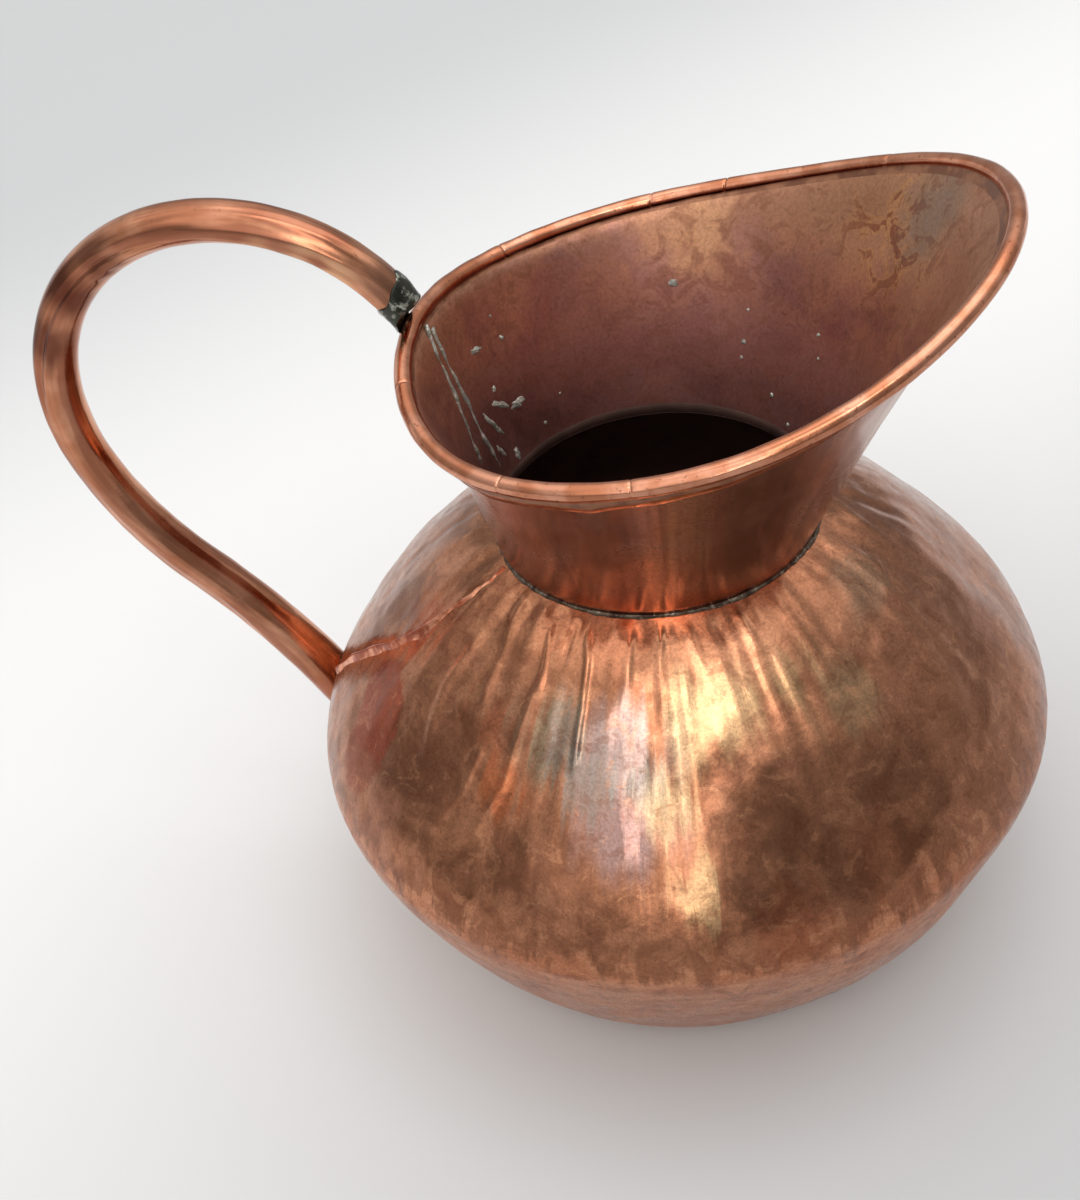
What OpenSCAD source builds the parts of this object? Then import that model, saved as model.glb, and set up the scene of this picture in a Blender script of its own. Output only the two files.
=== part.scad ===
// Hand-raised copper jug with a flared, wired mouth and a soldered tube handle.
// The axis of the body is Z, the spout points along +X and the handle stands along -X.
// The jug rests on its flat base disc at z = 0.

/* [Body] */
// Radius of the body at its widest line
belly_r = 90; // [80:0.5:100]
// Height of the widest line above the base
belly_z = 59; // [54:0.5:64]
// Radius of the flat base
base_r = 55.5; // [50:0.5:60]
// Slope of the shoulder where it meets the neck, in degrees from level
shoulder_slope = 22.5; // [19:0.5:26]
// Slope of the body where it leaves the base, in degrees from level
foot_slope = 24; // [21:0.5:28]
// How far the rounding of the widest line reaches above it
belly_round = 11; // [8:0.5:14]
// Thickness of the raised copper sheet of the body
body_t = 1.0; // [0.8:0.1:1.4]

/* [Neck and mouth] */
// Outer radius of the neck where it is soldered to the body
neck_r = 37.5; // [34:0.5:40]
// Height of the joint between neck and body
neck_z = 118; // [114:0.5:122]
// Thickness of the neck sheet
neck_t = 0.8; // [0.6:0.1:1.0]
// Mean radius of the mouth, to the middle of the wired edge
mouth_r = 59.5; // [56:0.5:62]
// How far the mouth is drawn forward to the spout
mouth_shift = 11.5; // [8:0.5:13]
// How much longer the mouth is than wide
mouth_oval = 3.5; // [2:0.5:4.5]
// How much the spout is pinched to a lip
spout_pinch = 1.8; // [0.5:0.1:2.5]
// Mean height of the wired edge
mouth_z = 172; // [168:0.5:176]
// Rise of the mouth towards the spout
mouth_tilt = 11.5; // [8:0.5:13]
// Drop of the two sides of the mouth below its ends
mouth_saddle = 6.5; // [4:0.5:7.5]
// How far the wall bows inwards between joint and mouth, as a flare
neck_bow = 1.0; // [0:0.1:1.5]
// Diameter of the wire inside the rolled edge
wire_d = 2.3; // [1.6:0.1:2.6]
// Length of the sheet's end laid flat below the rolled edge
tail_len = 5.6; // [2:0.1:7]

/* [Handle] */
// Outer diameter of the handle tube at its foot, where it is widest
foot_d = 12; // [10:0.2:13]
// Outer diameter of the handle tube at its top end
top_d = 9.4; // [8:0.2:10.4]
// Wall thickness of the handle tube
handle_wall = 1.2; // [1:0.1:1.6]

/* [Solder] */
// Reach of the solder fillet round the neck joint
neck_fillet = 2.2; // [1.6:0.1:2.4]
// Thickness of the solder left along the body's lap seam
seam_t = 0.7; // [0.5:0.1:1.0]
// Width of the body's lap seam
seam_w = 3.6; // [3:0.2:5]

/* [Hidden] */
$fn = 96;

COPPER = "#b8683f";
COPPER_DARK = "#8d4f34";
SOLDER = "#7c7d77";
IRON = "#5b5650";

// ---- small helpers ----
function mix(a, b, t) = a + (b - a) * t;
function bezier(p, t) =
  pow(1 - t, 3) * p[0] + 3 * pow(1 - t, 2) * t * p[1]
  + 3 * (1 - t) * t * t * p[2] + pow(t, 3) * p[3];
function bezier_slope(p, t) =
  pow(1 - t, 2) * (p[1] - p[0]) + 2 * (1 - t) * t * (p[2] - p[1]) + t * t * (p[3] - p[2]);
function unit(v) = v / norm(v);
// The point of a curve moved towards the inside of the vessel by a distance
function inset(p, t, d) =
  let (s = unit(bezier_slope(p, t))) bezier(p, t) + d * [s[1], -s[0]];

// ---- body profile, as [radius, height] from the neck joint down to the base ----
body_top_r = neck_r - 0.5;
body_top_z = neck_z + 0.2;
// Length of the curve's handle at the neck joint, below the widest line and at the base
shoulder_reach = 24.5;
belly_under = 0.64 * belly_round;
foot_reach = 18;
shoulder = [
  [body_top_r, body_top_z],
  [body_top_r, body_top_z] + shoulder_reach * [cos(shoulder_slope), -sin(shoulder_slope)],
  [belly_r, belly_z + belly_round],
  [belly_r, belly_z]
];
underside = [
  [belly_r, belly_z],
  [belly_r, belly_z - belly_under],
  [base_r, 0] + foot_reach * [cos(foot_slope), sin(foot_slope)],
  [base_r, 0]
];
steps = 20;
function curve_points(p, from, to) = [for (i = [from:to]) bezier(p, i / steps)];
function inset_points(p, from, to, d) = [for (i = [from:to]) inset(p, i / steps, d)];
outer_profile = concat(curve_points(shoulder, 0, steps), curve_points(underside, 1, steps));
inner_profile = concat(
  inset_points(shoulder, 0, steps, body_t), inset_points(underside, 1, steps, body_t)
);
function reversed(v) = [for (i = [len(v) - 1:-1:0]) v[i]];

// Where the inner face of the body meets the base
base_edge = inset(underside, 1, body_t);

module body_shell() {
  color(COPPER)
    rotate_extrude()
      polygon(concat(outer_profile, reversed(inner_profile)));
}

// The lap of the raised sheet: a low ridge that wanders from the handle's foot to the neck.
// Each row is an angle round the body and the radius the ridge has reached there.
seam_route = [
  [215, 39], [216, 42.5], [215, 46.7], [212.5, 52], [210.5, 57.4],
  [204, 65], [198, 71.5], [191, 80.5], [187.5, 85]
];
shoulder_table = [for (i = [0:steps]) [bezier(shoulder, i / steps)[0], i / steps]];
function seam_place(i) = lookup(seam_route[i][1], shoulder_table);
function shoulder_point(a, t, lift) =
  let (p = inset(shoulder, t, -lift)) [p[0] * cos(a), p[0] * sin(a), p[1]];
function seam_side(i, s) = seam_route[i][0] + s * seam_w / 2 / seam_route[i][1] * 180 / PI;
function seam_ring(i) = [
  shoulder_point(seam_side(i, -1), seam_place(i), 0.05),
  shoulder_point(seam_side(i, 1), seam_place(i), 0.05),
  shoulder_point(seam_side(i, 0.4), seam_place(i), seam_t),
  shoulder_point(seam_side(i, -0.4), seam_place(i), seam_t)
];

module body_seam() {
  color(COPPER_DARK)
    sweep([for (i = [0:len(seam_route) - 1]) seam_ring(i)]);
}

module base_disc() {
  color(COPPER)
    rotate_extrude()
      polygon([[0, 0], [base_r, 0], base_edge, [0, base_edge[1]]]);
}

// Braze run round the inside of the base joint
base_solder_in = 3;
base_solder_up = 0.05;
module base_solder() {
  color(SOLDER)
    rotate_extrude()
      polygon([
        [base_edge[0] - base_solder_in, base_edge[1]],
        base_edge,
        inset(underside, 1 - base_solder_up, body_t)
      ]);
}

// ---- mouth: radius and height of the wired edge at an angle from the spout ----
function rim_r(a) =
  mouth_r + mouth_shift * cos(a) + mouth_oval * cos(2 * a) + spout_pinch * cos(3 * a);
function rim_z(a) =
  mouth_z + mouth_tilt * cos(a) + mouth_saddle * cos(2 * a) + cos(3 * a) + cos(4 * a);

collar_h = 2;
collar_slope = 0.3;
collar = [neck_r + collar_h * collar_slope, body_top_z + collar_h];
wire_gap = 0.05;
bore_r = wire_d / 2 + wire_gap;
curl_r = bore_r + neck_t;

// Unit vectors in the half-plane at an angle: along the wall, and outwards from it
function wall_dir(a) = unit([rim_r(a), rim_z(a)] - collar);
function wall_out(a) = let (w = wall_dir(a)) [w[1], -w[0]];
// A point near the wired edge, given across and along the wall from the wire's centre
function edge_point(a, across, along) =
  [rim_r(a), rim_z(a)] + across * wall_out(a) + along * wall_dir(a);
// The outer face of the wall, t from the collar to the rolled edge
function wall_point(a, t, depth) =
  mix(collar, edge_point(a, -bore_r, 0), t)
  - (neck_bow * 4 * t * (1 - t) + depth) * wall_out(a);

wall_rows = 4;
// Gap between the laid tail and the wall behind it
tail_gap = 0.06;
function neck_section(a) = concat(
  [[neck_r - neck_t, body_top_z]],
  [for (i = [0:wall_rows - 1]) wall_point(a, i / wall_rows, neck_t)],
  [for (b = [180:-30:-90]) edge_point(a, curl_r * cos(b), curl_r * sin(b))],
  [
    edge_point(a, neck_t + tail_gap - bore_r, -curl_r - 0.4),
    edge_point(a, neck_t + tail_gap - bore_r, -curl_r - tail_len),
    edge_point(a, tail_gap - bore_r, -curl_r - tail_len),
    edge_point(a, tail_gap - bore_r, -0.6 * bore_r)
  ],
  [for (b = [-150:30:180]) edge_point(a, bore_r * cos(b), bore_r * sin(b))],
  [for (i = [wall_rows - 1:-1:0]) wall_point(a, i / wall_rows, 0)],
  [[neck_r, body_top_z]]
);
function wire_section(a, r, n) =
  [for (k = [0:n - 1]) edge_point(a, r * cos(-360 * k / n), r * sin(-360 * k / n))];
function turned(section, a) = [for (p = section) [p[0] * cos(a), p[0] * sin(a), p[1]]];

// A solid through closed rings of points; loop joins the last ring to the first
module sweep(rings, loop = false) {
  n = len(rings[0]);
  last = len(rings) - 1;
  spans = loop ? last : last - 1;
  sides = [
    for (i = [0:spans], k = [0:n - 1])
      let (j = (i + 1) % len(rings), m = (k + 1) % n)
        each [[i * n + k, i * n + m, j * n + m], [i * n + k, j * n + m, j * n + k]]
  ];
  ends = loop ? [] : [[for (k = [n - 1:-1:0]) k], [for (k = [0:n - 1]) last * n + k]];
  polyhedron([for (r = rings) each r], concat(sides, ends), convexity = 6);
}

rim_step = 6;
rim_angles = [0:rim_step:360 - rim_step];

// Flared sheet neck with its edge rolled over the wire and its tail laid flat
module neck_cone() {
  color(COPPER)
    sweep([for (a = rim_angles) turned(neck_section(a), a)], loop = true);
}

module rim_wire() {
  color(IRON)
    sweep([for (a = rim_angles) turned(wire_section(a, wire_d / 2, 8), a)], loop = true);
}

// Solder run down the lap of the neck sheet, on the inside behind the handle
neck_seam_w = 5;
neck_seam_rows = 6;
neck_seam_t = 0.5;
function neck_seam_ring(i) =
  let (
    t = mix(0.06, 0.9, i / neck_seam_rows),
    half = neck_seam_w / 2 / wall_point(180, t, 0)[0] * 180 / PI
  )
  [
    turned([wall_point(180 - half, t, neck_t)], 180 - half)[0],
    turned([wall_point(180 - half / 2, t, neck_t + neck_seam_t)], 180 - half / 2)[0],
    turned([wall_point(180 + half / 2, t, neck_t + neck_seam_t)], 180 + half / 2)[0],
    turned([wall_point(180 + half, t, neck_t)], 180 + half)[0]
  ];

module neck_seam() {
  color(SOLDER)
    sweep([for (i = [0:neck_seam_rows]) neck_seam_ring(i)]);
}

// Solder fillet in the angle between shoulder and neck
module neck_solder() {
  foot = [body_top_r, body_top_z] + neck_fillet * [cos(shoulder_slope), -sin(shoulder_slope)];
  color(SOLDER)
    rotate_extrude()
      polygon([
        [body_top_r, body_top_z],
        [neck_r, body_top_z],
        [neck_r + 0.45, body_top_z + 1.5],
        [neck_r + 1.1, body_top_z + 0.2],
        foot
      ]);
}

// ---- handle: tangent arcs in the plane y = 0, as [radius, turn in degrees] ----
handle_start = [-86, 49];
handle_heading = 150;
handle_arcs = [[10, -33], [170, 17.5], [80, -27], [51, -129], [42, -39]];
handle_sides = 16;
// Distance between the tube's rings, and the length over which the foot is cut away
ring_gap = 5.5;
foot_len = 34;
foot_rings = 5;

function side(turn) = turn > 0 ? 1 : -1;
function arc_len(arc) = arc[0] * abs(arc[1]) * PI / 180;
function arc_centre(pos, h, arc) = pos + arc[0] * side(arc[1]) * [-sin(h), cos(h)];
function arc_end(pos, h, arc) =
  let (h2 = h + arc[1]) arc_centre(pos, h, arc) + arc[0] * side(arc[1]) * [sin(h2), -cos(h2)];

// Place and heading at a length along the handle's centre line
function place(s, i = 0, pos = handle_start, h = handle_heading) =
  let (arc = handle_arcs[i], part = [arc[0], arc[1] * s / arc_len(arc)])
  i == len(handle_arcs) - 1 || s <= arc_len(arc)
    ? [arc_end(pos, h, part), h + part[1]]
    : place(s - arc_len(arc), i + 1, arc_end(pos, h, arc), h + arc[1]);
function total(v, i = 0) = i == len(v) ? 0 : v[i] + total(v, i + 1);
handle_len = total([for (arc = handle_arcs) arc_len(arc)]);
handle_tip = place(handle_len);

// Outer radius of the tube at a length along it, and a point on or under its surface
function tube_r(s) = mix(foot_d, top_d, s / handle_len) / 2;
function tube_point(s, under, b) =
  let (at = place(s), r = tube_r(s) - under)
  [at[0][0] - r * cos(b) * sin(at[1]), r * sin(b), at[0][1] + r * cos(b) * cos(at[1])];

// Radius of the body's outside at a height, and the length at which a line of the
// tube's surface comes out of the body, found by halving
profile_table = [for (p = reversed(outer_profile)) [p[1], p[0]]];
function clear_of_body(p) = norm([p[0], p[1]]) > lookup(p[2], profile_table) + 0.05;
function foot_at(under, b, low = 0, high = foot_len, tries = 14) =
  let (mid = (low + high) / 2)
  tries == 0 ? high
  : clear_of_body(tube_point(mid, under, b))
    ? foot_at(under, b, low, mid, tries - 1)
    : foot_at(under, b, mid, high, tries - 1);

tube_rings = ceil((handle_len - foot_len) / ring_gap);
function tube_line(under, b) =
  let (start = foot_at(under, b))
  [
    for (i = [0:foot_rings - 1]) tube_point(mix(start, foot_len, i / foot_rings), under, b),
    for (i = [0:tube_rings]) tube_point(mix(foot_len, handle_len, i / tube_rings), under, b)
  ];
function around(k) = 360 * k / handle_sides;

// Bent tapering tube whose foot is cut to the curve of the belly
module handle_tube() {
  color(COPPER)
    sweep(
      [
        for (k = [0:handle_sides - 1])
          concat(tube_line(0, around(k)), reversed(tube_line(handle_wall, around(k))))
      ],
      loop = true
    );
}

// Solder fillet round the handle's foot
foot_fillet_up = 3;
foot_fillet_out = 1.4;
module handle_foot_solder() {
  color(SOLDER)
    sweep(
      [
        for (k = [0:handle_sides - 1])
          let (b = around(k), start = foot_at(0, b))
            [
              tube_point(start, 0, b),
              tube_point(start + foot_fillet_up, 0, b),
              tube_point(foot_at(-foot_fillet_out, b), -foot_fillet_out, b)
            ]
      ],
      loop = true
    );
}

// Plug of solder that closes the handle's upper end and holds it to the wired edge
plug_len = 9;
module handle_top_solder() {
  back = -rim_r(180) - curl_r - 0.1;
  color(SOLDER)
    difference() {
      translate([handle_tip[0][0], 0, handle_tip[0][1]])
        rotate([0, 90 - handle_tip[1], 0])
          cylinder(d = top_d, h = plug_len);
      translate([back, -top_d, handle_tip[0][1] - 2 * plug_len])
        cube([2 * top_d, 2 * top_d, 4 * plug_len]);
    }
}

body_shell();
body_seam();
base_disc();
base_solder();
neck_cone();
neck_seam();
rim_wire();
neck_solder();
handle_tube();
handle_foot_solder();
handle_top_solder();
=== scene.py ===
import math

import bpy
import numpy as np
from mathutils import Matrix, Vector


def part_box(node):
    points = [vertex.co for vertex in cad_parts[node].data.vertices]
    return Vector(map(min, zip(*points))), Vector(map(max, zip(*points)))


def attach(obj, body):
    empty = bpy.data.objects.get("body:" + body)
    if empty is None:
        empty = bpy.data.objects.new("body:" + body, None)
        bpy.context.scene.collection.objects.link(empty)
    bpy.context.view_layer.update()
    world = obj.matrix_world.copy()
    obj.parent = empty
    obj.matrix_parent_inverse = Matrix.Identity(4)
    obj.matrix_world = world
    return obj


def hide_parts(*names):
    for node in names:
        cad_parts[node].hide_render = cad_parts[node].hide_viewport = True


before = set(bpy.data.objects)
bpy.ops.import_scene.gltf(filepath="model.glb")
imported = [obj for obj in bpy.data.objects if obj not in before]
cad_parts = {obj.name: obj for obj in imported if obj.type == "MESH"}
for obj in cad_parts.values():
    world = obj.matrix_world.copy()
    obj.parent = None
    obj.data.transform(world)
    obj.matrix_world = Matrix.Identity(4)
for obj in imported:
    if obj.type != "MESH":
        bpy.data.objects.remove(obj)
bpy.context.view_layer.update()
MM = 0.001


def node_box_mm(name):
    low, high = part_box(name)
    return np.array(low) / MM, np.array(high) / MM


# ---------------------------------------------------------------- sizes, from the frame
body_low, body_high = node_box_mm("body_shell")
BELLY_R = (body_high[0] - body_low[0]) / 2
NECK_Z = body_high[2]
BELLY_Z = 59.0
BASE_R = 55.5
NECK_R = 37.5
JOINT_R = NECK_R - 0.5
BODY_T = 1.0
NECK_T = 0.8
WIRE_R = 1.15
BORE_R = WIRE_R + 0.05
CURL_R = BORE_R + NECK_T
TAIL_LEN = 5.6
FOOT_R = 6.0
TOP_R = 4.7


# ---------------------------------------------------------------- small maths
def rad(degrees):
    return np.radians(degrees)


def bezier(p, t):
    p = np.asarray(p, float)
    t = np.asarray(t)[..., None]
    return ((1 - t) ** 3 * p[0] + 3 * (1 - t) ** 2 * t * p[1]
            + 3 * (1 - t) * t * t * p[2] + t ** 3 * p[3])


def even_steps(points, count):
    """The same line with its points spread evenly along it."""
    gaps = np.linalg.norm(np.diff(points, axis=0), axis=1)
    run = np.r_[0, np.cumsum(gaps)]
    where = np.linspace(0, run[-1], count)
    return np.stack([np.interp(where, run, points[:, k]) for k in range(points.shape[1])], -1), where


def bump(x, centre, width):
    """A smooth hump, 1 at its centre."""
    return np.exp(-((x - centre) / width) ** 2)


def ease(x, low, high):
    t = np.clip((x - low) / (high - low), 0, 1)
    return t * t * (3 - 2 * t)


def unevenness(points, wavelength, seed, waves=16):
    """Hand-worked unevenness, about -1 to 1, from seeded waves of one rough length in mm."""
    rng = np.random.default_rng(seed)
    ways = rng.normal(size=(waves, 3))
    ways /= np.linalg.norm(ways, axis=1)[:, None]
    ways *= (2 * math.pi / wavelength * rng.uniform(0.7, 1.35, waves))[:, None]
    phases = rng.uniform(0, 2 * math.pi, waves)
    return np.sin(points @ ways.T + phases).sum(-1) / math.sqrt(waves) / 1.1


def round_waver(angle, lowest, highest, count, seed, drift=None):
    """Unevenness that goes round an axis and meets itself; drift slides it as it goes down."""
    rng = np.random.default_rng(seed)
    total = np.zeros(np.broadcast(angle, 0 if drift is None else drift).shape)
    for turns in rng.integers(lowest, highest + 1, count):
        slide = 0 if drift is None else drift * rng.uniform(-1, 1)
        total = total + np.sin(turns * angle + rng.uniform(0, 2 * math.pi) + slide)
    return total / math.sqrt(count) / 1.1


# ---------------------------------------------------------------- meshes
def make_piece(name, points_mm, faces, materials, face_material=None):
    """A mesh object at the origin, faces outwards, with its place in its mesh."""
    points = np.asarray(points_mm, float) * MM
    faces = [list(f) for f in faces]
    volume = 0.0
    for f in faces:
        a = points[f[0]]
        for k in range(1, len(f) - 1):
            volume += float(np.dot(a, np.cross(points[f[k]], points[f[k + 1]])))
    if volume < 0:
        faces = [f[::-1] for f in faces]
    mesh = bpy.data.meshes.new(name)
    mesh.from_pydata(points.tolist(), [], faces)
    mesh.update()
    for material in materials:
        mesh.materials.append(material)
    if face_material is not None:
        mesh.polygons.foreach_set("material_index", np.asarray(face_material, np.int32))
    mesh.polygons.foreach_set("use_smooth", np.full(len(mesh.polygons), True))
    piece = bpy.data.objects.new(name, mesh)
    bpy.context.scene.collection.objects.link(piece)
    return piece


def quads_between(rows, around, first=0, loop_rows=False):
    """Four-sided faces over a grid of rows of points, each row a closed ring."""
    index = first + np.arange(rows * around).reshape(rows, around)
    lower = index if loop_rows else index[:-1]
    upper = np.roll(index, -1, 0) if loop_rows else index[1:]
    return np.stack([lower, np.roll(lower, -1, 1), np.roll(upper, -1, 1), upper], -1).reshape(-1, 4)


def capped(rows, around):
    """Faces over a tube of rings, with one flat face at each end."""
    faces = quads_between(rows, around).tolist()
    faces.append(list(range(around))[::-1])
    faces.append([(rows - 1) * around + k for k in range(around)])
    return faces


def coned(rings):
    """Points and faces over a tube of rings, each end closed round its middle."""
    rows, around = rings.shape[:2]
    points = np.concatenate([rings.reshape(-1, 3), rings[:1].mean(1), rings[-1:].mean(1)])
    foot, tip, top = rows * around, rows * around + 1, (rows - 1) * around
    faces = quads_between(rows, around).tolist()
    faces += [[foot, (k + 1) % around, k] for k in range(around)]
    faces += [[tip, top + k, top + (k + 1) % around] for k in range(around)]
    return points, faces


def seat(piece, slot, *nodes):
    """Fixes a piece to the one rigid body, in place of these frame nodes."""
    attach(piece, "root")
    if nodes:
        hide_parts(*nodes)
    return piece


# ---------------------------------------------------------------- body: profile and relief
# Two curves that meet upright at the widest line; the pulls, in mm, and slopes, in degrees, shape them
SHOULDER_PULL, SHOULDER_FALL = 24.5, 22.5
BELLY_PULL_UP, BELLY_PULL_DOWN = 11, 7.04
FOOT_PULL, FOOT_RISE = 18, 24
SHOULDER = [
    (JOINT_R, NECK_Z),
    (JOINT_R + SHOULDER_PULL * math.cos(rad(SHOULDER_FALL)),
     NECK_Z - SHOULDER_PULL * math.sin(rad(SHOULDER_FALL))),
    (BELLY_R, BELLY_Z + BELLY_PULL_UP),
    (BELLY_R, BELLY_Z),
]
UNDERSIDE = [
    (BELLY_R, BELLY_Z),
    (BELLY_R, BELLY_Z - BELLY_PULL_DOWN),
    (BASE_R + FOOT_PULL * math.cos(rad(FOOT_RISE)), FOOT_PULL * math.sin(rad(FOOT_RISE))),
    (BASE_R, 0),
]
fine = np.linspace(0, 1, 400)
profile_fine = np.vstack([bezier(SHOULDER, fine), bezier(UNDERSIDE, fine)[1:]])
BODY_ROWS = 150
profile, profile_run = even_steps(profile_fine, BODY_ROWS)
slope = np.gradient(profile, axis=0)
profile_out = np.stack([-slope[:, 1], slope[:, 0]], -1)
profile_out /= np.linalg.norm(profile_out, axis=1)[:, None]
SHOULDER_ROWS = 80
run_of_r = (profile[:SHOULDER_ROWS, 0], profile_run[:SHOULDER_ROWS])
belly_run = float(np.interp(BELLY_R - 0.02, *run_of_r))

# Creases and puckers left by raising: [points as (degrees round, radius), height, half width]
CREASES = [
    ([(258, 42), (260, 46.7), (261.2, 55), (261.4, 64)], 0.6, 0.7),
    ([(261.8, 60), (262.5, 68), (262, 75)], 0.16, 1.2),
    ([(246, 43), (248.5, 48), (250, 54)], 0.5, 0.75),
    ([(249, 52), (248, 63), (248, 70), (245, 77)], 0.45, 1.1),
    ([(240, 44), (242, 52), (240, 62)], -0.3, 2.0),
    ([(232, 41), (236, 50), (237, 60)], 0.4, 1.2),
    ([(227, 52), (226, 62), (229, 72)], 0.4, 1.4),
    ([(253, 41), (253.5, 49)], -0.4, 0.9),
    ([(241, 66), (240, 74), (236, 82)], 0.35, 1.2),
    ([(271, 42), (271, 50)], 0.4, 0.9),
    ([(280, 41), (279, 47)], 0.45, 0.8),
    ([(288, 41), (290, 49)], 0.36, 1.1),
    ([(296, 41), (298, 47)], -0.3, 1.3),
    ([(304, 41), (306, 50)], 0.38, 1.2),
    ([(316, 41), (318, 56)], 0.3, 1.6),
    ([(353, 50), (347, 53), (341, 56)], 0.32, 0.7),
    ([(349, 44), (351, 51)], 0.4, 1.3),
    ([(4, 42), (2, 49)], 0.45, 1.6),
    ([(11, 43), (14, 56)], -0.4, 2.2),
    ([(336, 48), (333, 62)], 0.24, 1.8),
    ([(20, 45), (24, 60)], 0.3, 2.0),
    ([(60, 42), (66, 55)], 0.35, 1.5),
    ([(95, 44), (92, 58)], -0.3, 1.8),
    ([(128, 41), (133, 52)], 0.36, 1.2),
    ([(160, 43), (156, 60)], 0.3, 1.7),
]
# Shallow dents: (degrees round, distance down the wall, depth, half width)
DENTS = [
    (231, 47, 0.55, 9), (252, 62, 0.35, 7), (285, 44, -0.3, 6), (306, 52, 0.45, 11),
    (334, 40, 0.4, 8), (12, 52, 0.5, 10), (60, 60, 0.5, 9), (110, 45, 0.45, 10),
    (150, 70, 0.5, 8), (297, 86, 0.35, 7), (262, 92, 0.3, 8), (330, 95, 0.4, 9),
]


def body_relief(angle, run, points):
    """How far the raised sheet stands off its true profile, in mm, never outwards at the belly."""
    near_neck = bump(run, 6, 17)
    on_shoulder = bump(run, 36, 26)
    low = ease(run, belly_run - 6, belly_run + 22)
    h = 0.30 * unevenness(points, 42, 3) * (1 - 0.5 * near_neck)
    h = h + 0.10 * unevenness(points, 13, 5) * (1 - 0.55 * low)
    h = h + 0.035 * unevenness(points, 6, 6) * (1 - 0.5 * low)
    h = h + 0.17 * near_neck * round_waver(angle, 17, 48, 9, 8, run * 0.05)
    h = h + 0.30 * on_shoulder * round_waver(angle, 6, 15, 6, 9, run * 0.03)
    h = h + 0.07 * bump(run, belly_run - 4, 7) * round_waver(angle, 55, 130, 10, 12, run * 0.2)
    h = h + 0.075 * bump(run, 24, 24) * round_waver(angle, 40, 95, 12, 14, run * 0.04)
    radius = np.linalg.norm(points[..., :2], axis=-1)
    turn = np.degrees(angle) % 360
    for line, height, half in CREASES:
        radii = [p[1] for p in line]
        aim = np.interp(radius, radii, [p[0] for p in line])
        off = (turn - aim + 180) % 360 - 180
        side = rad(off) * radius
        ends = ease(radius, radii[0] - 2, radii[0] + 1.5) * (1 - ease(radius, radii[-1] - 4, radii[-1] + 3))
        h = h + height * ends * np.exp(-(side / half) ** 2) * (run < belly_run)
    for centre, down, depth, half in DENTS:
        off = rad((turn - centre + 180) % 360 - 180) * radius
        h = h - depth * np.exp(-(off ** 2 + (run - down) ** 2) / half ** 2)
    held = ease(run, 0, 4) * (1 - ease(run, profile_run[-1] - 7, profile_run[-1]))
    crown = bump(run, belly_run, 9)
    return held * (h * (1 - 0.45 * crown) - 0.4 * crown)


def body_point(angle, run, lift=0.0, with_relief=True):
    """Points on the body's skin at an angle and a distance down from the neck joint."""
    angle, run = np.broadcast_arrays(np.asarray(angle, float), np.asarray(run, float))
    r = np.interp(run, profile_run, profile[:, 0])
    z = np.interp(run, profile_run, profile[:, 1])
    out_r = np.interp(run, profile_run, profile_out[:, 0])
    out_z = np.interp(run, profile_run, profile_out[:, 1])
    plain = np.stack([r * np.cos(angle), r * np.sin(angle), z], -1)
    if with_relief:
        lift = lift + body_relief(angle, run, plain)
    far = r + lift * out_r
    return np.stack([far * np.cos(angle), far * np.sin(angle), z + lift * out_z], -1)


# Steps round the body are closer in front, where the finest creases are
BODY_ANGLES = rad(np.concatenate([np.arange(222, 326, 0.42), np.linspace(326, 582, 276, endpoint=False)]))
BODY_AROUND = len(BODY_ANGLES)
INSIDE_ROWS = 30


def raised_body(copper, tarnish):
    outer = body_point(BODY_ANGLES[None, :], profile_run[:, None])
    inner_run = np.linspace(profile_run[-1], 0, INSIDE_ROWS)
    thin = (-BODY_T + 0.6 * (1 - ease(inner_run, 0, 6)))[:, None]
    inner = body_point(BODY_ANGLES[None, :], inner_run[:, None], thin)
    rings = np.concatenate([outer, inner])
    faces = quads_between(len(rings), BODY_AROUND, loop_rows=True)
    inside = np.arange(len(rings)) >= BODY_ROWS - 1
    return make_piece("raised_body", rings.reshape(-1, 3), faces, [copper, tarnish],
                      np.repeat(inside.astype(int), BODY_AROUND))


# The lap of the sheet: a wavering step from the handle's foot up to the neck
LAP_ROUTE = [(215, 38.6), (216, 42.5), (215, 46.7), (212.5, 52), (210.5, 57.4),
             (204, 65), (198, 71.5), (191, 80.5), (187.3, 86)]


def smooth_route(points, count):
    """A soft curve through a few chosen points."""
    points = np.asarray(points, float)
    t = np.arange(len(points))
    slopes = np.gradient(points, axis=0)
    where = np.linspace(0, len(points) - 1, count)
    i = np.minimum(where.astype(int), len(points) - 2)
    u = (where - t[i])[:, None]
    a, b, da, db = points[i], points[i + 1], slopes[i], slopes[i + 1]
    return ((2 * u ** 3 - 3 * u ** 2 + 1) * a + (u ** 3 - 2 * u ** 2 + u) * da
            + (3 * u ** 2 - 2 * u ** 3) * b + (u ** 3 - u ** 2) * db)


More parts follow.
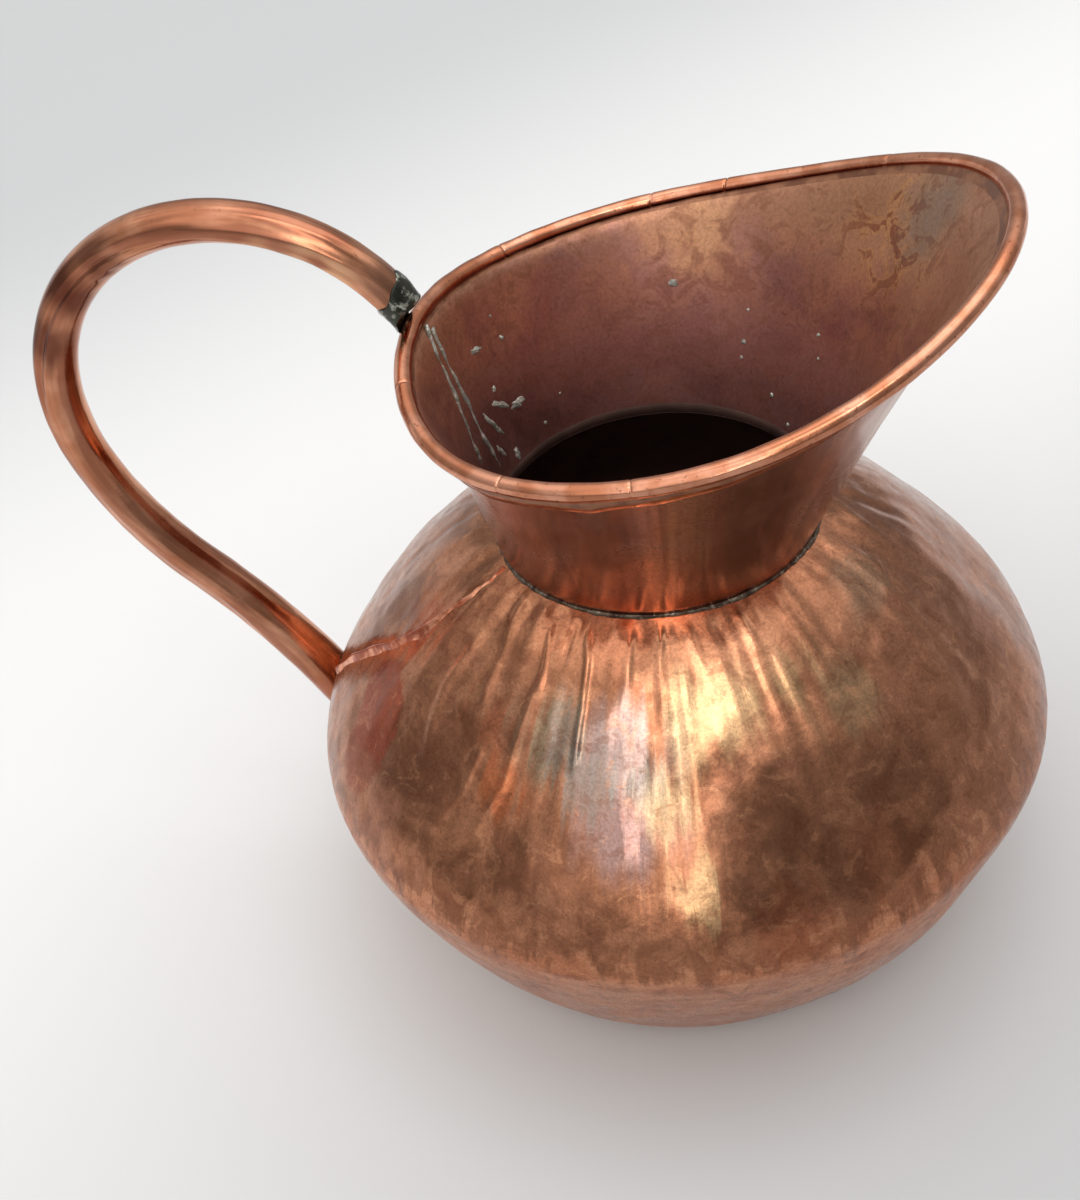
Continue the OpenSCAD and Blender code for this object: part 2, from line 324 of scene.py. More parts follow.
def lap_ridge(copper):
    stations = 150
    route = smooth_route(LAP_ROUTE, stations)
    angle, radius = rad(route[:, 0]), route[:, 1]
    run = np.interp(radius, *run_of_r)
    along = np.linspace(0, 1, stations)
    rng = np.random.default_rng(21)
    wobble = sum(np.sin(along * k + rng.uniform(0, 6.3)) * a
                 for k, a in ((9, 0.35), (21, 0.3), (47, 0.22), (90, 0.12)))
    plain = body_point(angle, run, 0, False)
    ahead = np.gradient(plain, axis=0)
    ahead /= np.linalg.norm(ahead, axis=1)[:, None]
    d_run, d_side = np.gradient(run), radius * np.gradient(angle)
    length = np.hypot(d_run, d_side)
    across_run, across_side = d_side / length, -d_run / length
    width = 1.2 + 0.3 * np.sin(along * 25 + 1) + 0.18 * np.sin(along * 61)
    width = width * (0.45 + 0.55 * ease(along, 0.2, 0.55))
    height = (0.26 + 0.62 * ease(along, 0.3, 0.6)) * (1 + 0.18 * np.sin(along * 38 + 2))
    # Section from the foot of the long slope to the foot of the steep step
    section = [(-1.0, -0.25), (-0.95, 0.02), (-0.6, 0.28), (-0.25, 0.62), (0.1, 0.92),
               (0.4, 1.0), (0.62, 0.86), (0.72, 0.45), (0.78, 0.02), (0.8, -0.25)]
    rings = []
    for s, lift in section:
        across = s * width + wobble * 0.6
        rings.append(body_point(angle + across * across_side / radius, run + across * across_run,
                                np.where(lift > 0, lift * height, lift)))
    points = np.stack(rings, 1).reshape(-1, 3)
    return make_piece("lap_ridge", points, capped(stations, len(section)), [copper])


# ---------------------------------------------------------------- neck and wired mouth
COLLAR = np.array([NECK_R + 0.6, NECK_Z + 2])
# Radius and height of the wire: a mean, then waves that go once, twice and so on round the mouth
RIM_R, RIM_Z = (59.5, 11.5, 3.5, 1.8), (172, 11.5, 6.5, 1, 1)


def rim_at(a):
    return np.stack([sum(size * np.cos(k * a) for k, size in enumerate(waves)) for waves in (RIM_R, RIM_Z)], -1)


def wall_frame(a):
    """Along the wall and out of it, in the half-plane at each angle."""
    along = rim_at(a) - COLLAR
    along /= np.linalg.norm(along, axis=-1, keepdims=True)
    return along, np.stack([along[..., 1], -along[..., 0]], -1)


def swing(flat, a):
    return np.stack([flat[..., 0] * np.cos(a), flat[..., 0] * np.sin(a), flat[..., 1]], -1)


def wall_at(a, t, depth):
    """Points of the flared wall, t from the collar to the rolled edge, depth mm in from outside."""
    a, t, depth = np.broadcast_arrays(*(np.asarray(v, float) for v in (a, t, depth)))
    along, out = wall_frame(a)
    edge = rim_at(a) - BORE_R * out
    flat = COLLAR + (edge - COLLAR) * t[..., None]
    plain = swing(flat, a)
    wave = 0.22 * unevenness(plain, 34, 31) + 0.05 * unevenness(plain, 12, 32)
    wave = wave + 0.16 * round_waver(a, 5, 11, 5, 33)
    wave = wave * ease(t, 0, 0.2) * (1 - ease(t, 0.75, 1.0)) - 0.1
    return swing(flat - (4 * t * (1 - t) + depth - wave)[..., None] * out, a)


# Nicks across the rolled edge: (degrees round, depth, half width in degrees)
NICKS = [(96, 0.16, 0.3), (78, 0.2, 0.25), (250.5, 0.16, 0.25), (137, 0.2, 0.3), (42, 0.15, 0.25),
         (278.5, 0.14, 0.25), (205, 0.14, 0.3)]
# Where the laid tail stands a little off the wall: (degrees round, how far, half width)
LIFTED = [(268.5, 0.5, 4), (243, 0.25, 5), (296, 0.2, 5), (338, 0.3, 6), (120, 0.4, 6), (60, 0.3, 5)]


# The neck's materials, in the order of its slots
# The hollow slot holds painted shade, for the creases by the rolled edge and the gap under its tail
OUTSIDE, INSIDE, EDGE, HOLLOW_SHADE, DARK = range(5)


def flared_neck(*materials):
    """One closed skin: up the inside, over the bead, down the laid tail, round the wire's bore, and
    down the outside."""
    base = np.arange(0, 360, 0.9)
    extra = np.concatenate([[c - 2 * w, c - w, c - w / 2, c, c + w / 2, c + w, c + 2 * w]
                            for c, d, w in NICKS])
    turn = np.unique(np.round(np.concatenate([base, extra % 360]), 3))
    turn = turn[np.r_[True, np.diff(turn) > 0.05]]
    a = rad(turn)
    along, out = wall_frame(a)
    rim = rim_at(a)
    nick = sum(d * np.exp(-((turn - c) / w) ** 2) for c, d, w in NICKS)
    lifted = sum(d * np.exp(-((turn - c) / w) ** 2) for c, d, w in LIFTED)
    bead = (CURL_R - 0.06 + 0.05 * round_waver(a, 9, 40, 8, 41) - nick)
    tail_end = TAIL_LEN + 0.22 * round_waver(a, 8, 60, 9, 43) - 0.5 * nick - 0.2

    def edge_point(across, up):
        across = np.broadcast_to(across, a.shape)
        up = np.broadcast_to(up, a.shape)
        return swing(rim + across[:, None] * out + up[:, None] * along, a)

    rows, kinds = [], []

    def row(points, kind):
        rows.append(points)
        kinds.append(kind)

    row(swing(np.broadcast_to([NECK_R - NECK_T, NECK_Z], rim.shape), a), DARK)
    for t in np.linspace(0, 0.955, 22):
        # The last rows inside, in the crease below the bead, take painted shade
        row(wall_at(a, t, NECK_T - 0.42 * ease(t, 0.9, 0.955)), HOLLOW_SHADE if t > 0.95 else INSIDE)
    row(edge_point(-BORE_R - NECK_T + 0.5, -0.86 * CURL_R), HOLLOW_SHADE)
    # Two shallow creases run along the bead where the sheet was tapped round the wire
    for b in np.append(np.arange(218, -86, -9), -90):
        crease = 0.07 * math.exp(-((b - 62) / 10) ** 2) + 0.09 * math.exp(-((b + 8) / 10) ** 2)
        reach = bead - crease * (0.6 + 0.4 * round_waver(a, 4, 30, 8, 45))
        row(edge_point(reach * math.cos(rad(b)), reach * math.sin(rad(b))), EDGE)
    back = 0.06 - BORE_R + lifted
    step = 0.12 * ease(np.sin(3 * a + 1), -0.5, 0.5)
    # The gap between the bead and the laid tail, and the tail's end, take painted shade
    row(edge_point(back + NECK_T - 0.1, -CURL_R - 0.3), HOLLOW_SHADE)
    row(edge_point(back + NECK_T + 0.1 + step, -CURL_R - 1.4), HOLLOW_SHADE)
    row(edge_point(back + NECK_T + 0.3 + step, -CURL_R - 0.6 * tail_end), EDGE)
    row(edge_point(back + NECK_T + 0.28 + step, -CURL_R - tail_end + 0.6), EDGE)
    row(edge_point(back + NECK_T + 0.02, -CURL_R - tail_end), HOLLOW_SHADE)
    row(edge_point(back, -CURL_R - tail_end - 0.05), OUTSIDE)
    row(edge_point(0.06 - BORE_R, -0.6 * BORE_R), OUTSIDE)
    for b in np.arange(-150, 181, 30):
        row(edge_point(BORE_R * math.cos(rad(b)), BORE_R * math.sin(rad(b))), OUTSIDE)
    for t in np.linspace(0.955, 0, 22):
        row(wall_at(a, t, 0.0), OUTSIDE)
    row(swing(np.broadcast_to([NECK_R, NECK_Z], rim.shape), a), OUTSIDE)
    rings = np.stack(rows)
    faces = quads_between(len(rows), len(a), loop_rows=True)
    return make_piece("flared_neck", rings.reshape(-1, 3), faces, materials,
                      np.repeat(kinds, len(a)))


def neck_solder_run(solder):
    """The lumpy ring of soft solder wiped round the neck joint."""
    around = 620
    a = np.linspace(0, 2 * math.pi, around, endpoint=False)
    waver = 0.7 * round_waver(a, 6, 20, 8, 51) + 0.3 * round_waver(a, 30, 80, 8, 52)
    lump = 0.5 + 0.5 * np.clip(waver, -1, 1)
    reach = 0.6 + 0.75 * lump
    climb = 0.25 + 0.5 * lump
    rows = [swing(np.broadcast_to([NECK_R - 0.1, NECK_Z + 0.05], (around, 2)), a)]
    high = np.stack([np.full(around, NECK_R + 0.02), NECK_Z + climb], -1)
    foot = np.stack([JOINT_R + 0.93 * reach, NECK_Z - 0.38 * reach], -1)
    rows.append(swing(high, a))
    for t, bulge in ((0.25, 0.42), (0.5, 0.55), (0.75, 0.45)):
        mid = high * (1 - t) + foot * t
        rows.append(swing(mid + (bulge * (0.2 + 0.5 * lump))[:, None] * np.array([0.55, 0.6]), a))
    rows.append(body_point(a, 0.05 + reach, 0.02))
    rows.append(body_point(a, 0.05 + reach, -0.3))
    rings = np.stack(rows)
    faces = quads_between(len(rows), around, loop_rows=True)
    return make_piece("neck_solder_run", rings.reshape(-1, 3), faces, [solder])


# Two raised lines of solder on the sheet's inner lap: (degrees round, place up the wall)
LAP_LINES = [
    ([(178, 0.97), (181, 0.80), (183, 0.59), (185, 0.34), (185.5, 0.24)], 0.62),
    ([(176, 0.93), (177.6, 0.70), (176.6, 0.47), (175.5, 0.27), (172, 0.09)], 0.66),
]
# Smears of solder wiped beside it: (degrees round, place, half length, half width, tilt)
SMEARS = [(167, 0.29, 4.4, 0.9, 62), (160, 0.34, 2.8, 1.0, 40), (152, 0.28, 2.6, 1.1, 10),
          (161, 0.66, 2.0, 0.8, 20), (149, 0.63, 0.9, 0.5, 40), (160, 0.05, 1.7, 1.0, 70),
          (160, 0.43, 0.9, 0.6, 80), (168, 0.14, 2.3, 0.7, 65)]


def wall_patch(turn_centre, place, half_long, half_wide, tilt, seed, height=0.4):
    """A small irregular mound lying on the inside of the neck."""
    around, rows = 22, 5
    rng = np.random.default_rng(seed)
    spin = np.linspace(0, 2 * math.pi, around, endpoint=False)
    uneven = 1 + 0.22 * np.sin(2 * spin + rng.uniform(0, 6)) + 0.16 * np.sin(5 * spin + rng.uniform(0, 6))
    here = wall_at(rad(turn_centre), place, NECK_T)
    step = 0.01
    up = wall_at(rad(turn_centre), place + step, NECK_T) - here
    per_mm = step / np.linalg.norm(up)
    radius = np.linalg.norm(here[:2])
    ct, st = math.cos(rad(tilt)), math.sin(rad(tilt))
    rings = []
    for k in range(rows + 1):
        reach = (k + 1) / (rows + 1)
        x = half_long * reach * uneven * np.cos(spin)
        y = half_wide * reach * uneven * np.sin(spin)
        side, rise = x * ct - y * st, x * st + y * ct
        lift = height * (1 - reach ** 2) * (1 + 0.2 * np.sin(3 * spin + seed)) - 0.04
        rings.append(wall_at(rad(turn_centre) + side / radius, place + rise * per_mm, NECK_T + lift))
    rings.append(wall_at(rad(turn_centre) + side / radius, place + rise * per_mm, NECK_T - 0.3))
    return np.concatenate(rings), capped(len(rings), around)


def neck_lap_solder(solder):
    points, faces, first = [], [], 0

    def take(new_points, new_faces):
        nonlocal first
        points.append(new_points)
        faces.extend([[i + first for i in f] for f in new_faces])
        first += len(new_points)

    stations, around = 110, 9
    for index, (line, half) in enumerate(LAP_LINES):
        route = smooth_route(line, stations)
        along = np.linspace(0, 1, stations)
        thick = half * (0.75 + 0.3 * np.sin(along * 17 + index) + 0.2 * np.sin(along * 43 + 2 * index))
        thick = np.maximum(thick, 0.16) * (1 - 0.7 * ease(along, 0.85, 1.0))
        waver = 0.25 * np.sin(along * 12 + index) + 0.12 * np.sin(along * 37)
        a, t = rad(route[:, 0]), route[:, 1]
        radius = np.linalg.norm(wall_at(a, t, NECK_T)[:, :2], axis=1)
        rings = []
        for k in range(around):
            b = math.pi * k / (around - 1)
            lift = 0.75 * math.sin(b) - (0.35 if k in (0, around - 1) else 0)
            rings.append(wall_at(a + (thick * math.cos(b) + waver) / radius, t,
                                 NECK_T + np.where(lift > 0, lift * thick, lift)))
        take(np.stack(rings, 1).reshape(-1, 3), capped(stations, around))
    for index, smear in enumerate(SMEARS):
        take(*wall_patch(*smear, seed=60 + index))
    return make_piece("neck_lap_solder", np.concatenate(points), faces, [solder])


# ---------------------------------------------------------------- handle
# The same route as the frame's: start, heading, then (radius, turn in degrees) arcs
HANDLE_START = np.array([-86.0, 49.0])
HANDLE_HEADING = 150.0
HANDLE_ARCS = [(10, -33), (170, 17.5), (80, -27), (51, -129), (42, -39)]


def handle_route():
    points, pos, heading, run = [], HANDLE_START, HANDLE_HEADING, 0.0
    for radius, turn in HANDLE_ARCS:
        side = 1 if turn > 0 else -1
        h = rad(heading)
        centre = pos + radius * side * np.array([-math.sin(h), math.cos(h)])
        for k in np.linspace(0, 1, 60):
            now = rad(heading + turn * k)
            place = centre + radius * side * np.array([math.sin(now), -math.cos(now)])
            points.append([run + radius * abs(rad(turn)) * k, place[0], place[1], heading + turn * k])
        pos, heading, run = place, heading + turn, run + radius * abs(rad(turn))
    return np.array(points)


ROUTE = handle_route()
HANDLE_LEN = ROUTE[-1, 0]
# Soft ridges and flats left by bending: (from, to, side in degrees at each end, height, half width)
BEND_LINES = [
    (2, 62, -35, -120, 0.42, 13), (48, 118, -118, -96, 0.30, 12), (96, 160, -52, -30, 0.26, 12),
    (150, 236, -128, -60, 0.24, 13), (172, 239, -20, 18, -0.22, 16), (60, 130, 160, 200, 0.2, 16),
    (8, 80, 40, 95, 0.3, 15), (130, 238, 60, 100, 0.24, 15), (30, 100, -70, -62, -0.3, 14),
    (112, 178, -60, -98, -0.75, 7), (120, 182, -84, -128, 0.2, 8), (0, 34, -100, -62, 0.4, 9),
    (190, 239, -118, -128, 0.5, 9), (188, 242, -58, -70, -0.55, 26), (84, 112, -98, -108, 0.3, 6),
]


def plain_radius(run):
    """The tube before it was bent: it narrows evenly from foot to top."""
    return FOOT_R + (TOP_R - FOOT_R) * run / HANDLE_LEN


def tube_radius(run, side):
    """Outer radius of the handle; side is degrees round it, 0 outside the loop, -90 in front."""
    r = plain_radius(run) - 0.22
    r = r * (1 + 0.028 * np.cos(2 * rad(side)) * bump(run, 150, 45)
             - 0.045 * np.cos(2 * rad(side - 20)) * bump(run, 12, 26)
             + 0.02 * np.cos(2 * rad(side + 30)) * bump(run, 225, 24))
    for start, end, side_a, side_b, height, half in BEND_LINES:
        t = (run - start) / (end - start)
        aim = side_a + (side_b - side_a) * t
        off = (side - aim + 180) % 360 - 180
        ends = ease(run, start - 4, start + 14) * (1 - ease(run, end - 14, end + 4))
        r = r + height * ends * np.exp(-(off / half) ** 2)
    # Wrinkles where the inside of the tight bend was compressed
    pinch = bump(run, 163, 9) * np.exp(-(((side + 118 + 180) % 360 - 180) / 34) ** 2)
    r = r + 0.09 * pinch * np.sin(run * 1.1 + 0.03 * side)
    return np.minimum(r, plain_radius(run))


def handle_point(run, side, extra=0.0, with_marks=True):
    run, side = np.broadcast_arrays(np.asarray(run, float), np.asarray(side, float))
    x = np.interp(run, ROUTE[:, 0], ROUTE[:, 1])
    z = np.interp(run, ROUTE[:, 0], ROUTE[:, 2])
    h = rad(np.interp(run, ROUTE[:, 0], ROUTE[:, 3]))
    r = (tube_radius(run, side) if with_marks else plain_radius(run)) + extra
    b = rad(side)
    return np.stack([x - r * np.cos(b) * np.sin(h), r * np.sin(b), z + r * np.cos(b) * np.cos(h)], -1)


def foot_start(side, extra=0.0, sink=-0.35):
    """Distance along the handle at which each line of its surface comes out of the belly."""
    low, high = np.zeros(np.shape(side)), np.full(np.shape(side), 34.0)
    height = profile[::-1, 1]
    for _ in range(16):
        mid = (low + high) / 2
        p = handle_point(mid, side, extra)
        clear = np.linalg.norm(p[..., :2], axis=-1) > np.interp(p[..., 2], height, profile[::-1, 0]) + sink
        low, high = np.where(clear, low, mid), np.where(clear, mid, high)
    return high


def handle(copper):
    rows, around = 330, 56
    side = np.linspace(0, 360, around, endpoint=False)
    start = foot_start(side)
    share = np.linspace(0, 1, rows)[:, None]
    run = start + (HANDLE_LEN - start) * share
    rings = handle_point(run, np.broadcast_to(side, run.shape))
    rings = rings + 0.0245 * unevenness(rings, 7, 71)[..., None]
    piece = make_piece("handle", *coned(rings), [copper])
    # A map that runs along the tube, in mm, for the long polishing lines
    chart = piece.data.uv_layers.new(name="along_tube")
    u = np.append(run.reshape(-1), [0, HANDLE_LEN])
    v = np.append(np.broadcast_to(side, run.shape).reshape(-1), [0, 0])
    corner = np.empty(len(piece.data.loops), np.int32)
    piece.data.loops.foreach_get("vertex_index", corner)
    where = np.stack([u[corner] * MM, v[corner] / 360], -1)
    chart.data.foreach_set("uv", where.reshape(-1))
    return piece


def foot_solder(solder):
    """Uneven fillet round the foot, heaviest above where the handle leaves the body."""
    around = 90
    side = np.linspace(0, 360, around, endpoint=False)
    rng = np.random.default_rng(81)
    lump = 0.5 + 0.28 * np.sin(rad(side) * 3 + 1) + 0.22 * np.sin(rad(side) * 8 + 2)
    lump = np.clip(lump + 0.15 * rng.normal(size=around), 0.15, 1.2)
    start = foot_start(side)
    rows = [handle_point(start - 0.3, side, -0.4), handle_point(start + 0.5 + 1.3 * lump, side, -0.05)]
    rows.append(handle_point(start + 0.35 + 0.7 * lump, side, 0.12 + 0.4 * lump))
    rows.append(handle_point(foot_start(side, 0.25 + 0.75 * lump, 0.1), side, 0.25 + 0.75 * lump))
    rows.append(handle_point(foot_start(side, 0.3 + 0.8 * lump, -0.4), side, 0.3 + 0.8 * lump))
    rings = np.stack(rows)
    faces = quads_between(len(rows), around, loop_rows=True)
    return make_piece("foot_solder", rings.reshape(-1, 3), faces, [solder])


def top_solder(solder):
    """The dark plug that fills the tube's upper end and grips the rolled edge."""
    around, rows = 64, 26
    side = np.linspace(0, 360, around, endpoint=False)
    ragged = 4.6 + 1.6 * np.cos(rad(side)) + 0.7 * np.sin(rad(side) * 2 + 1) + 0.3 * np.sin(rad(side) * 5)
    rings = []
    for k, t in enumerate(np.linspace(0, 1, rows)):
        run = HANDLE_LEN - ragged * (1 - t)
        skin = 0.16 * math.sin(math.pi * min(t * 1.6, 0.5 + 0.5 * t)) - (0.25 if k == 0 else 0)
        ring = handle_point(run, side, skin, with_marks=False)
        ring = ring + 0.07 * unevenness(ring, 4.5, 91)[:, None] * (k > 0)
        rings.append(ring)
    tip = np.array([ROUTE[-1, 1], 0, ROUTE[-1, 2]])
    heading = rad(ROUTE[-1, 3])
    forward = np.array([math.cos(heading), 0, math.sin(heading)])
    last = rings[-1]
    wall_x = -rim_at(math.pi)[0] - CURL_R + 0.25
    for shrink, push in ((0.97, 1.6), (0.9, 3.4), (0.78, 5.2), (0.6, 6.8), (0.38, 8.0), (0.15, 8.7)):
        ring = tip + (last - tip) * shrink + forward * push
        ring = ring + 0.22 * unevenness(ring, 6, 92)[:, None]
        ring[:, 0] = np.minimum(ring[:, 0], wall_x)
        rings.append(ring)
    return make_piece("top_solder", *coned(np.stack(rings)), [solder])


# ---------------------------------------------------------------- materials
MATH, RANGE, MIX = "ShaderNodeMath", "ShaderNodeMapRange", "ShaderNodeMix"
VECTOR, NOISE, SPLIT = "ShaderNodeVectorMath", "ShaderNodeTexNoise", "ShaderNodeSeparateXYZ"
TIMES, PLUS, MINUS = {"operation": "MULTIPLY"}, {"operation": "ADD"}, {"operation": "SUBTRACT"}
TIMES_PLUS, ABSOLUTE = {"operation": "MULTIPLY_ADD"}, {"operation": "ABSOLUTE"}
TURN_OF = {"operation": "ARCTAN2"}
PER_RADIAN = 180 / math.pi
RANGE_INPUTS = ("Value", "From Min", "From Max", "To Min", "To Max")


def linear(hex_colour):
    """sRGB hex to linear values with full alpha."""
    values = [int(hex_colour[i:i + 2], 16) / 255 for i in (1, 3, 5)]
    return tuple(v / 12.92 if v <= 0.04045 else ((v + 0.055) / 1.055) ** 2.4 for v in values) + (1.0,)


def add(tree, kind, settings=None, inputs=None):
    """Adds a node with its settings; an input is a value, or an output to link from."""
    new = tree.nodes.new(kind)
    for key, value in (settings or {}).items():
        setattr(new, key, value)
    for key, value in (inputs or {}).items():
        if isinstance(value, bpy.types.NodeSocket):
            tree.links.new(value, new.inputs[key])
        else:
            new.inputs[key].default_value = value
    return new


def metal(name):
    """A new material, its empty tree and the piece's own coordinates in it."""
    material = bpy.data.materials.new(name)
    material.use_nodes = True
    tree = material.node_tree
    tree.nodes.clear()
    return material, tree, add(tree, "ShaderNodeTexCoord").outputs["Object"]


def patterns(tree, where, *sizes, stretch=None):
    """Patterns of noise, each given as (size of a feature in mm, detail, roughness, distortion)."""
    if stretch:
        where = add(tree, "ShaderNodeMapping", {"vector_type": "POINT"},
                    {"Vector": where, "Scale": stretch}).outputs[0]
    return [add(tree, NOISE, {}, {"Vector": where, "Scale": 1 / (size_mm * MM), "Detail": detail,
                                  "Roughness": rough, "Distortion": bend}).outputs["Fac"]
            for size_mm, detail, rough, bend in sizes]


def round_the_axis(tree, where, down_stretch):
    """Coordinates that run round the vertical axis; a pattern on them streaks down the wall."""
    ring_r = 0.07
    flat = add(tree, VECTOR, TIMES, {0: where, 1: (1, 1, 0)}).outputs[0]
    ring = add(tree, VECTOR, {"operation": "NORMALIZE"}, {0: flat}).outputs[0]
    ring = add(tree, VECTOR, {"operation": "SCALE"}, {0: ring, "Scale": ring_r}).outputs[0]
    tall = add(tree, VECTOR, TIMES, {0: where, 1: (0, 0, down_stretch)}).outputs[0]
    return add(tree, VECTOR, PLUS, {0: ring, 1: tall}).outputs[0]


def together(tree, *conditions):
    """The product of its conditions. Each is a share, or (value, low, high) that is carried softly
    to 0 and 1, or to the two numbers that follow."""
    product = None
    for share in conditions:
        if isinstance(share, tuple):
            share = add(tree, RANGE, {"interpolation_type": "SMOOTHSTEP"},
                        dict(zip(RANGE_INPUTS, share))).outputs[0]
        product = share if product is None else add(tree, MATH, TIMES, {0: product, 1: share}).outputs[0]
    return product


def near(tree, where, point_mm, reach_mm, edge, torn_mm, most=1.0, soft=0.75):
    """A share, most at a place on the piece and none beyond its reach, its edge torn by a pattern."""
    point = tuple(v * MM for v in point_mm)
    far = add(tree, VECTOR, {"operation": "DISTANCE"}, {0: where, 1: point}).outputs["Value"]
    far = add(tree, MATH, TIMES_PLUS, {0: edge, 1: 2 * torn_mm * MM, 2: far}).outputs[0]
    outer, inner = reach_mm + torn_mm, reach_mm * (1 - soft) + torn_mm
    return together(tree, (far, outer * MM, inner * MM, 0.0, most))


def lay(tree, colour, *layers):
    """Lays colours over one another, each given as (share, colour), or as (pattern, low, high,
    least share, most share, colour)."""
    for share, *reach, over in layers:
        if reach:
            share = together(tree, (share, *reach))
        over = linear(over) if isinstance(over, str) else over
        colour = add(tree, MIX, {"data_type": "RGBA", "clamp_factor": True},
                     {0: share, 6: colour, 7: over}).outputs[2]
    return colour


def finish(material, colour, metallic, shine, *relief, specular=0.5):
    """Gives a material its shader. Metallic and shine, its roughness, are a number, an output or
    (pattern, low, high, at low, at high). Relief is (pattern, depth in mm, strength), laid in turn."""
    tree = material.node_tree
    looks = {"Base Color": colour, "Metallic": metallic, "Roughness": shine, "Specular IOR Level": specular}
    for key in ("Metallic", "Roughness"):
        if isinstance(looks[key], tuple):
            looks[key] = together(tree, looks[key])
    for pattern, depth_mm, strength in relief:
        below = {"Normal": looks["Normal"]} if "Normal" in looks else {}
        looks["Normal"] = add(tree, "ShaderNodeBump", {}, {
            "Height": pattern, "Distance": depth_mm * MM, "Strength": strength, **below}).outputs["Normal"]
    shader = add(tree, "ShaderNodeBsdfPrincipled", {}, looks)
    add(tree, "ShaderNodeOutputMaterial", {}, {"Surface": shader.outputs[0]})
    return material


def body_spot(turn, radius):
    """A place on the plain profile of the shoulder, for a stain, tint or painted highlight."""
    run = np.interp(radius, *run_of_r)
    return tuple(body_point(rad(turn), run, 0, False))


# Stains and worn places on the shoulder, dark ones first, with painted highlights and a painted dark reflection
# among them:
# (degrees round, radius, reach in mm, raggedness in mm, strength, colour, pattern that breaks its edge)
STAINS_AND_PAINTED_LIGHT = [
    (340, 66, 46, 14, 0.75, "#A9755B", "cloud"), (335, 84, 34, 8, 0.5, "#93634B", "cloud"),
    (20, 62, 42, 14, 0.7, "#93654F", "cloud"), (232, 73, 20, 14, 0.6, "#7A4D3A", "cloud"),
    # (301, 76) is a painted dark reflection with a crisp edge, beside the painted highlights
    (301, 76, 24, 7, 0.5, "#8A5E49", "crisp"), (257, 80, 17, 14, 0.5, "#80523F", "streak"),
    (246, 58, 12, 10, 0.5, "#9A6850", "cloud"), (225, 84, 12, 10, 0.5, "#8A5A46", "streak"),
    (211, 74, 12, 5, 0.75, "#A3482D", "crisp"), (214, 82, 9, 5, 0.6, "#964A32", "crisp"),
    (209, 57, 12, 7, 0.5, "#B05C40", "cloud"), (222, 55, 10, 7, 0.5, "#A96A50", "cloud"),
    (248, 70, 8, 9, 0.7, "#C06A42", "streak"), (241, 62, 8, 9, 0.5, "#B9694A", "streak"),
    (295, 87, 15, 9, 0.5, "#944E34", "streak"), (311, 83, 14, 9, 0.4, "#9A5A40", "streak"),
    (256, 61, 12, 10, 0.7, "#958A72", "streak"), (270, 60, 14, 12, 0.7, "#B09F9C", "wide"),
    (272, 73, 14, 9, 0.65, "#AD9290", "wide"), (264, 66, 10, 10, 0.7, "#8F857E", "streak"),
    (274, 66, 8, 8, 0.6, "#9FA19C", "streak"), (318, 62, 10, 8, 0.5, "#A8906E", "wide"),
    (309, 53, 9, 8, 0.5, "#A08C66", "wide"), (341, 50, 10, 8, 0.6, "#A88870", "cloud"),
    # (282, 81), (289, 56) and (278, 69) are painted highlights: pale cream streaks where the window's light
    # would shine
    (352, 43, 9, 7, 0.6, "#CC8C6C", "fleck"), (282, 81, 9, 12, 0.5, "#D8B98A", "streak"),
    (289, 56, 14, 9, 0.65, "#E2C090", "wide"), (278, 69, 10, 9, 0.5, "#D0B98E", "streak"),
    (286, 43, 11, 8, 0.7, "#ECA57D", "cloud"), (266, 43, 9, 7, 0.7, "#E39670", "cloud"),
    (250, 43, 8, 6, 0.5, "#D08460", "cloud"), (304, 46, 11, 7, 0.55, "#DE9C78", "cloud"),
]
# A pattern of noise seldom nears its ends, so it is drawn wider than the raggedness it should give
TEAR = 1.6
# The shoulder's patina ends between these heights, and wanders with two patterns
PATINA_LOW, PATINA_HIGH, PATINA_WANDER = 60.5 * MM, 66 * MM, 30 * MM


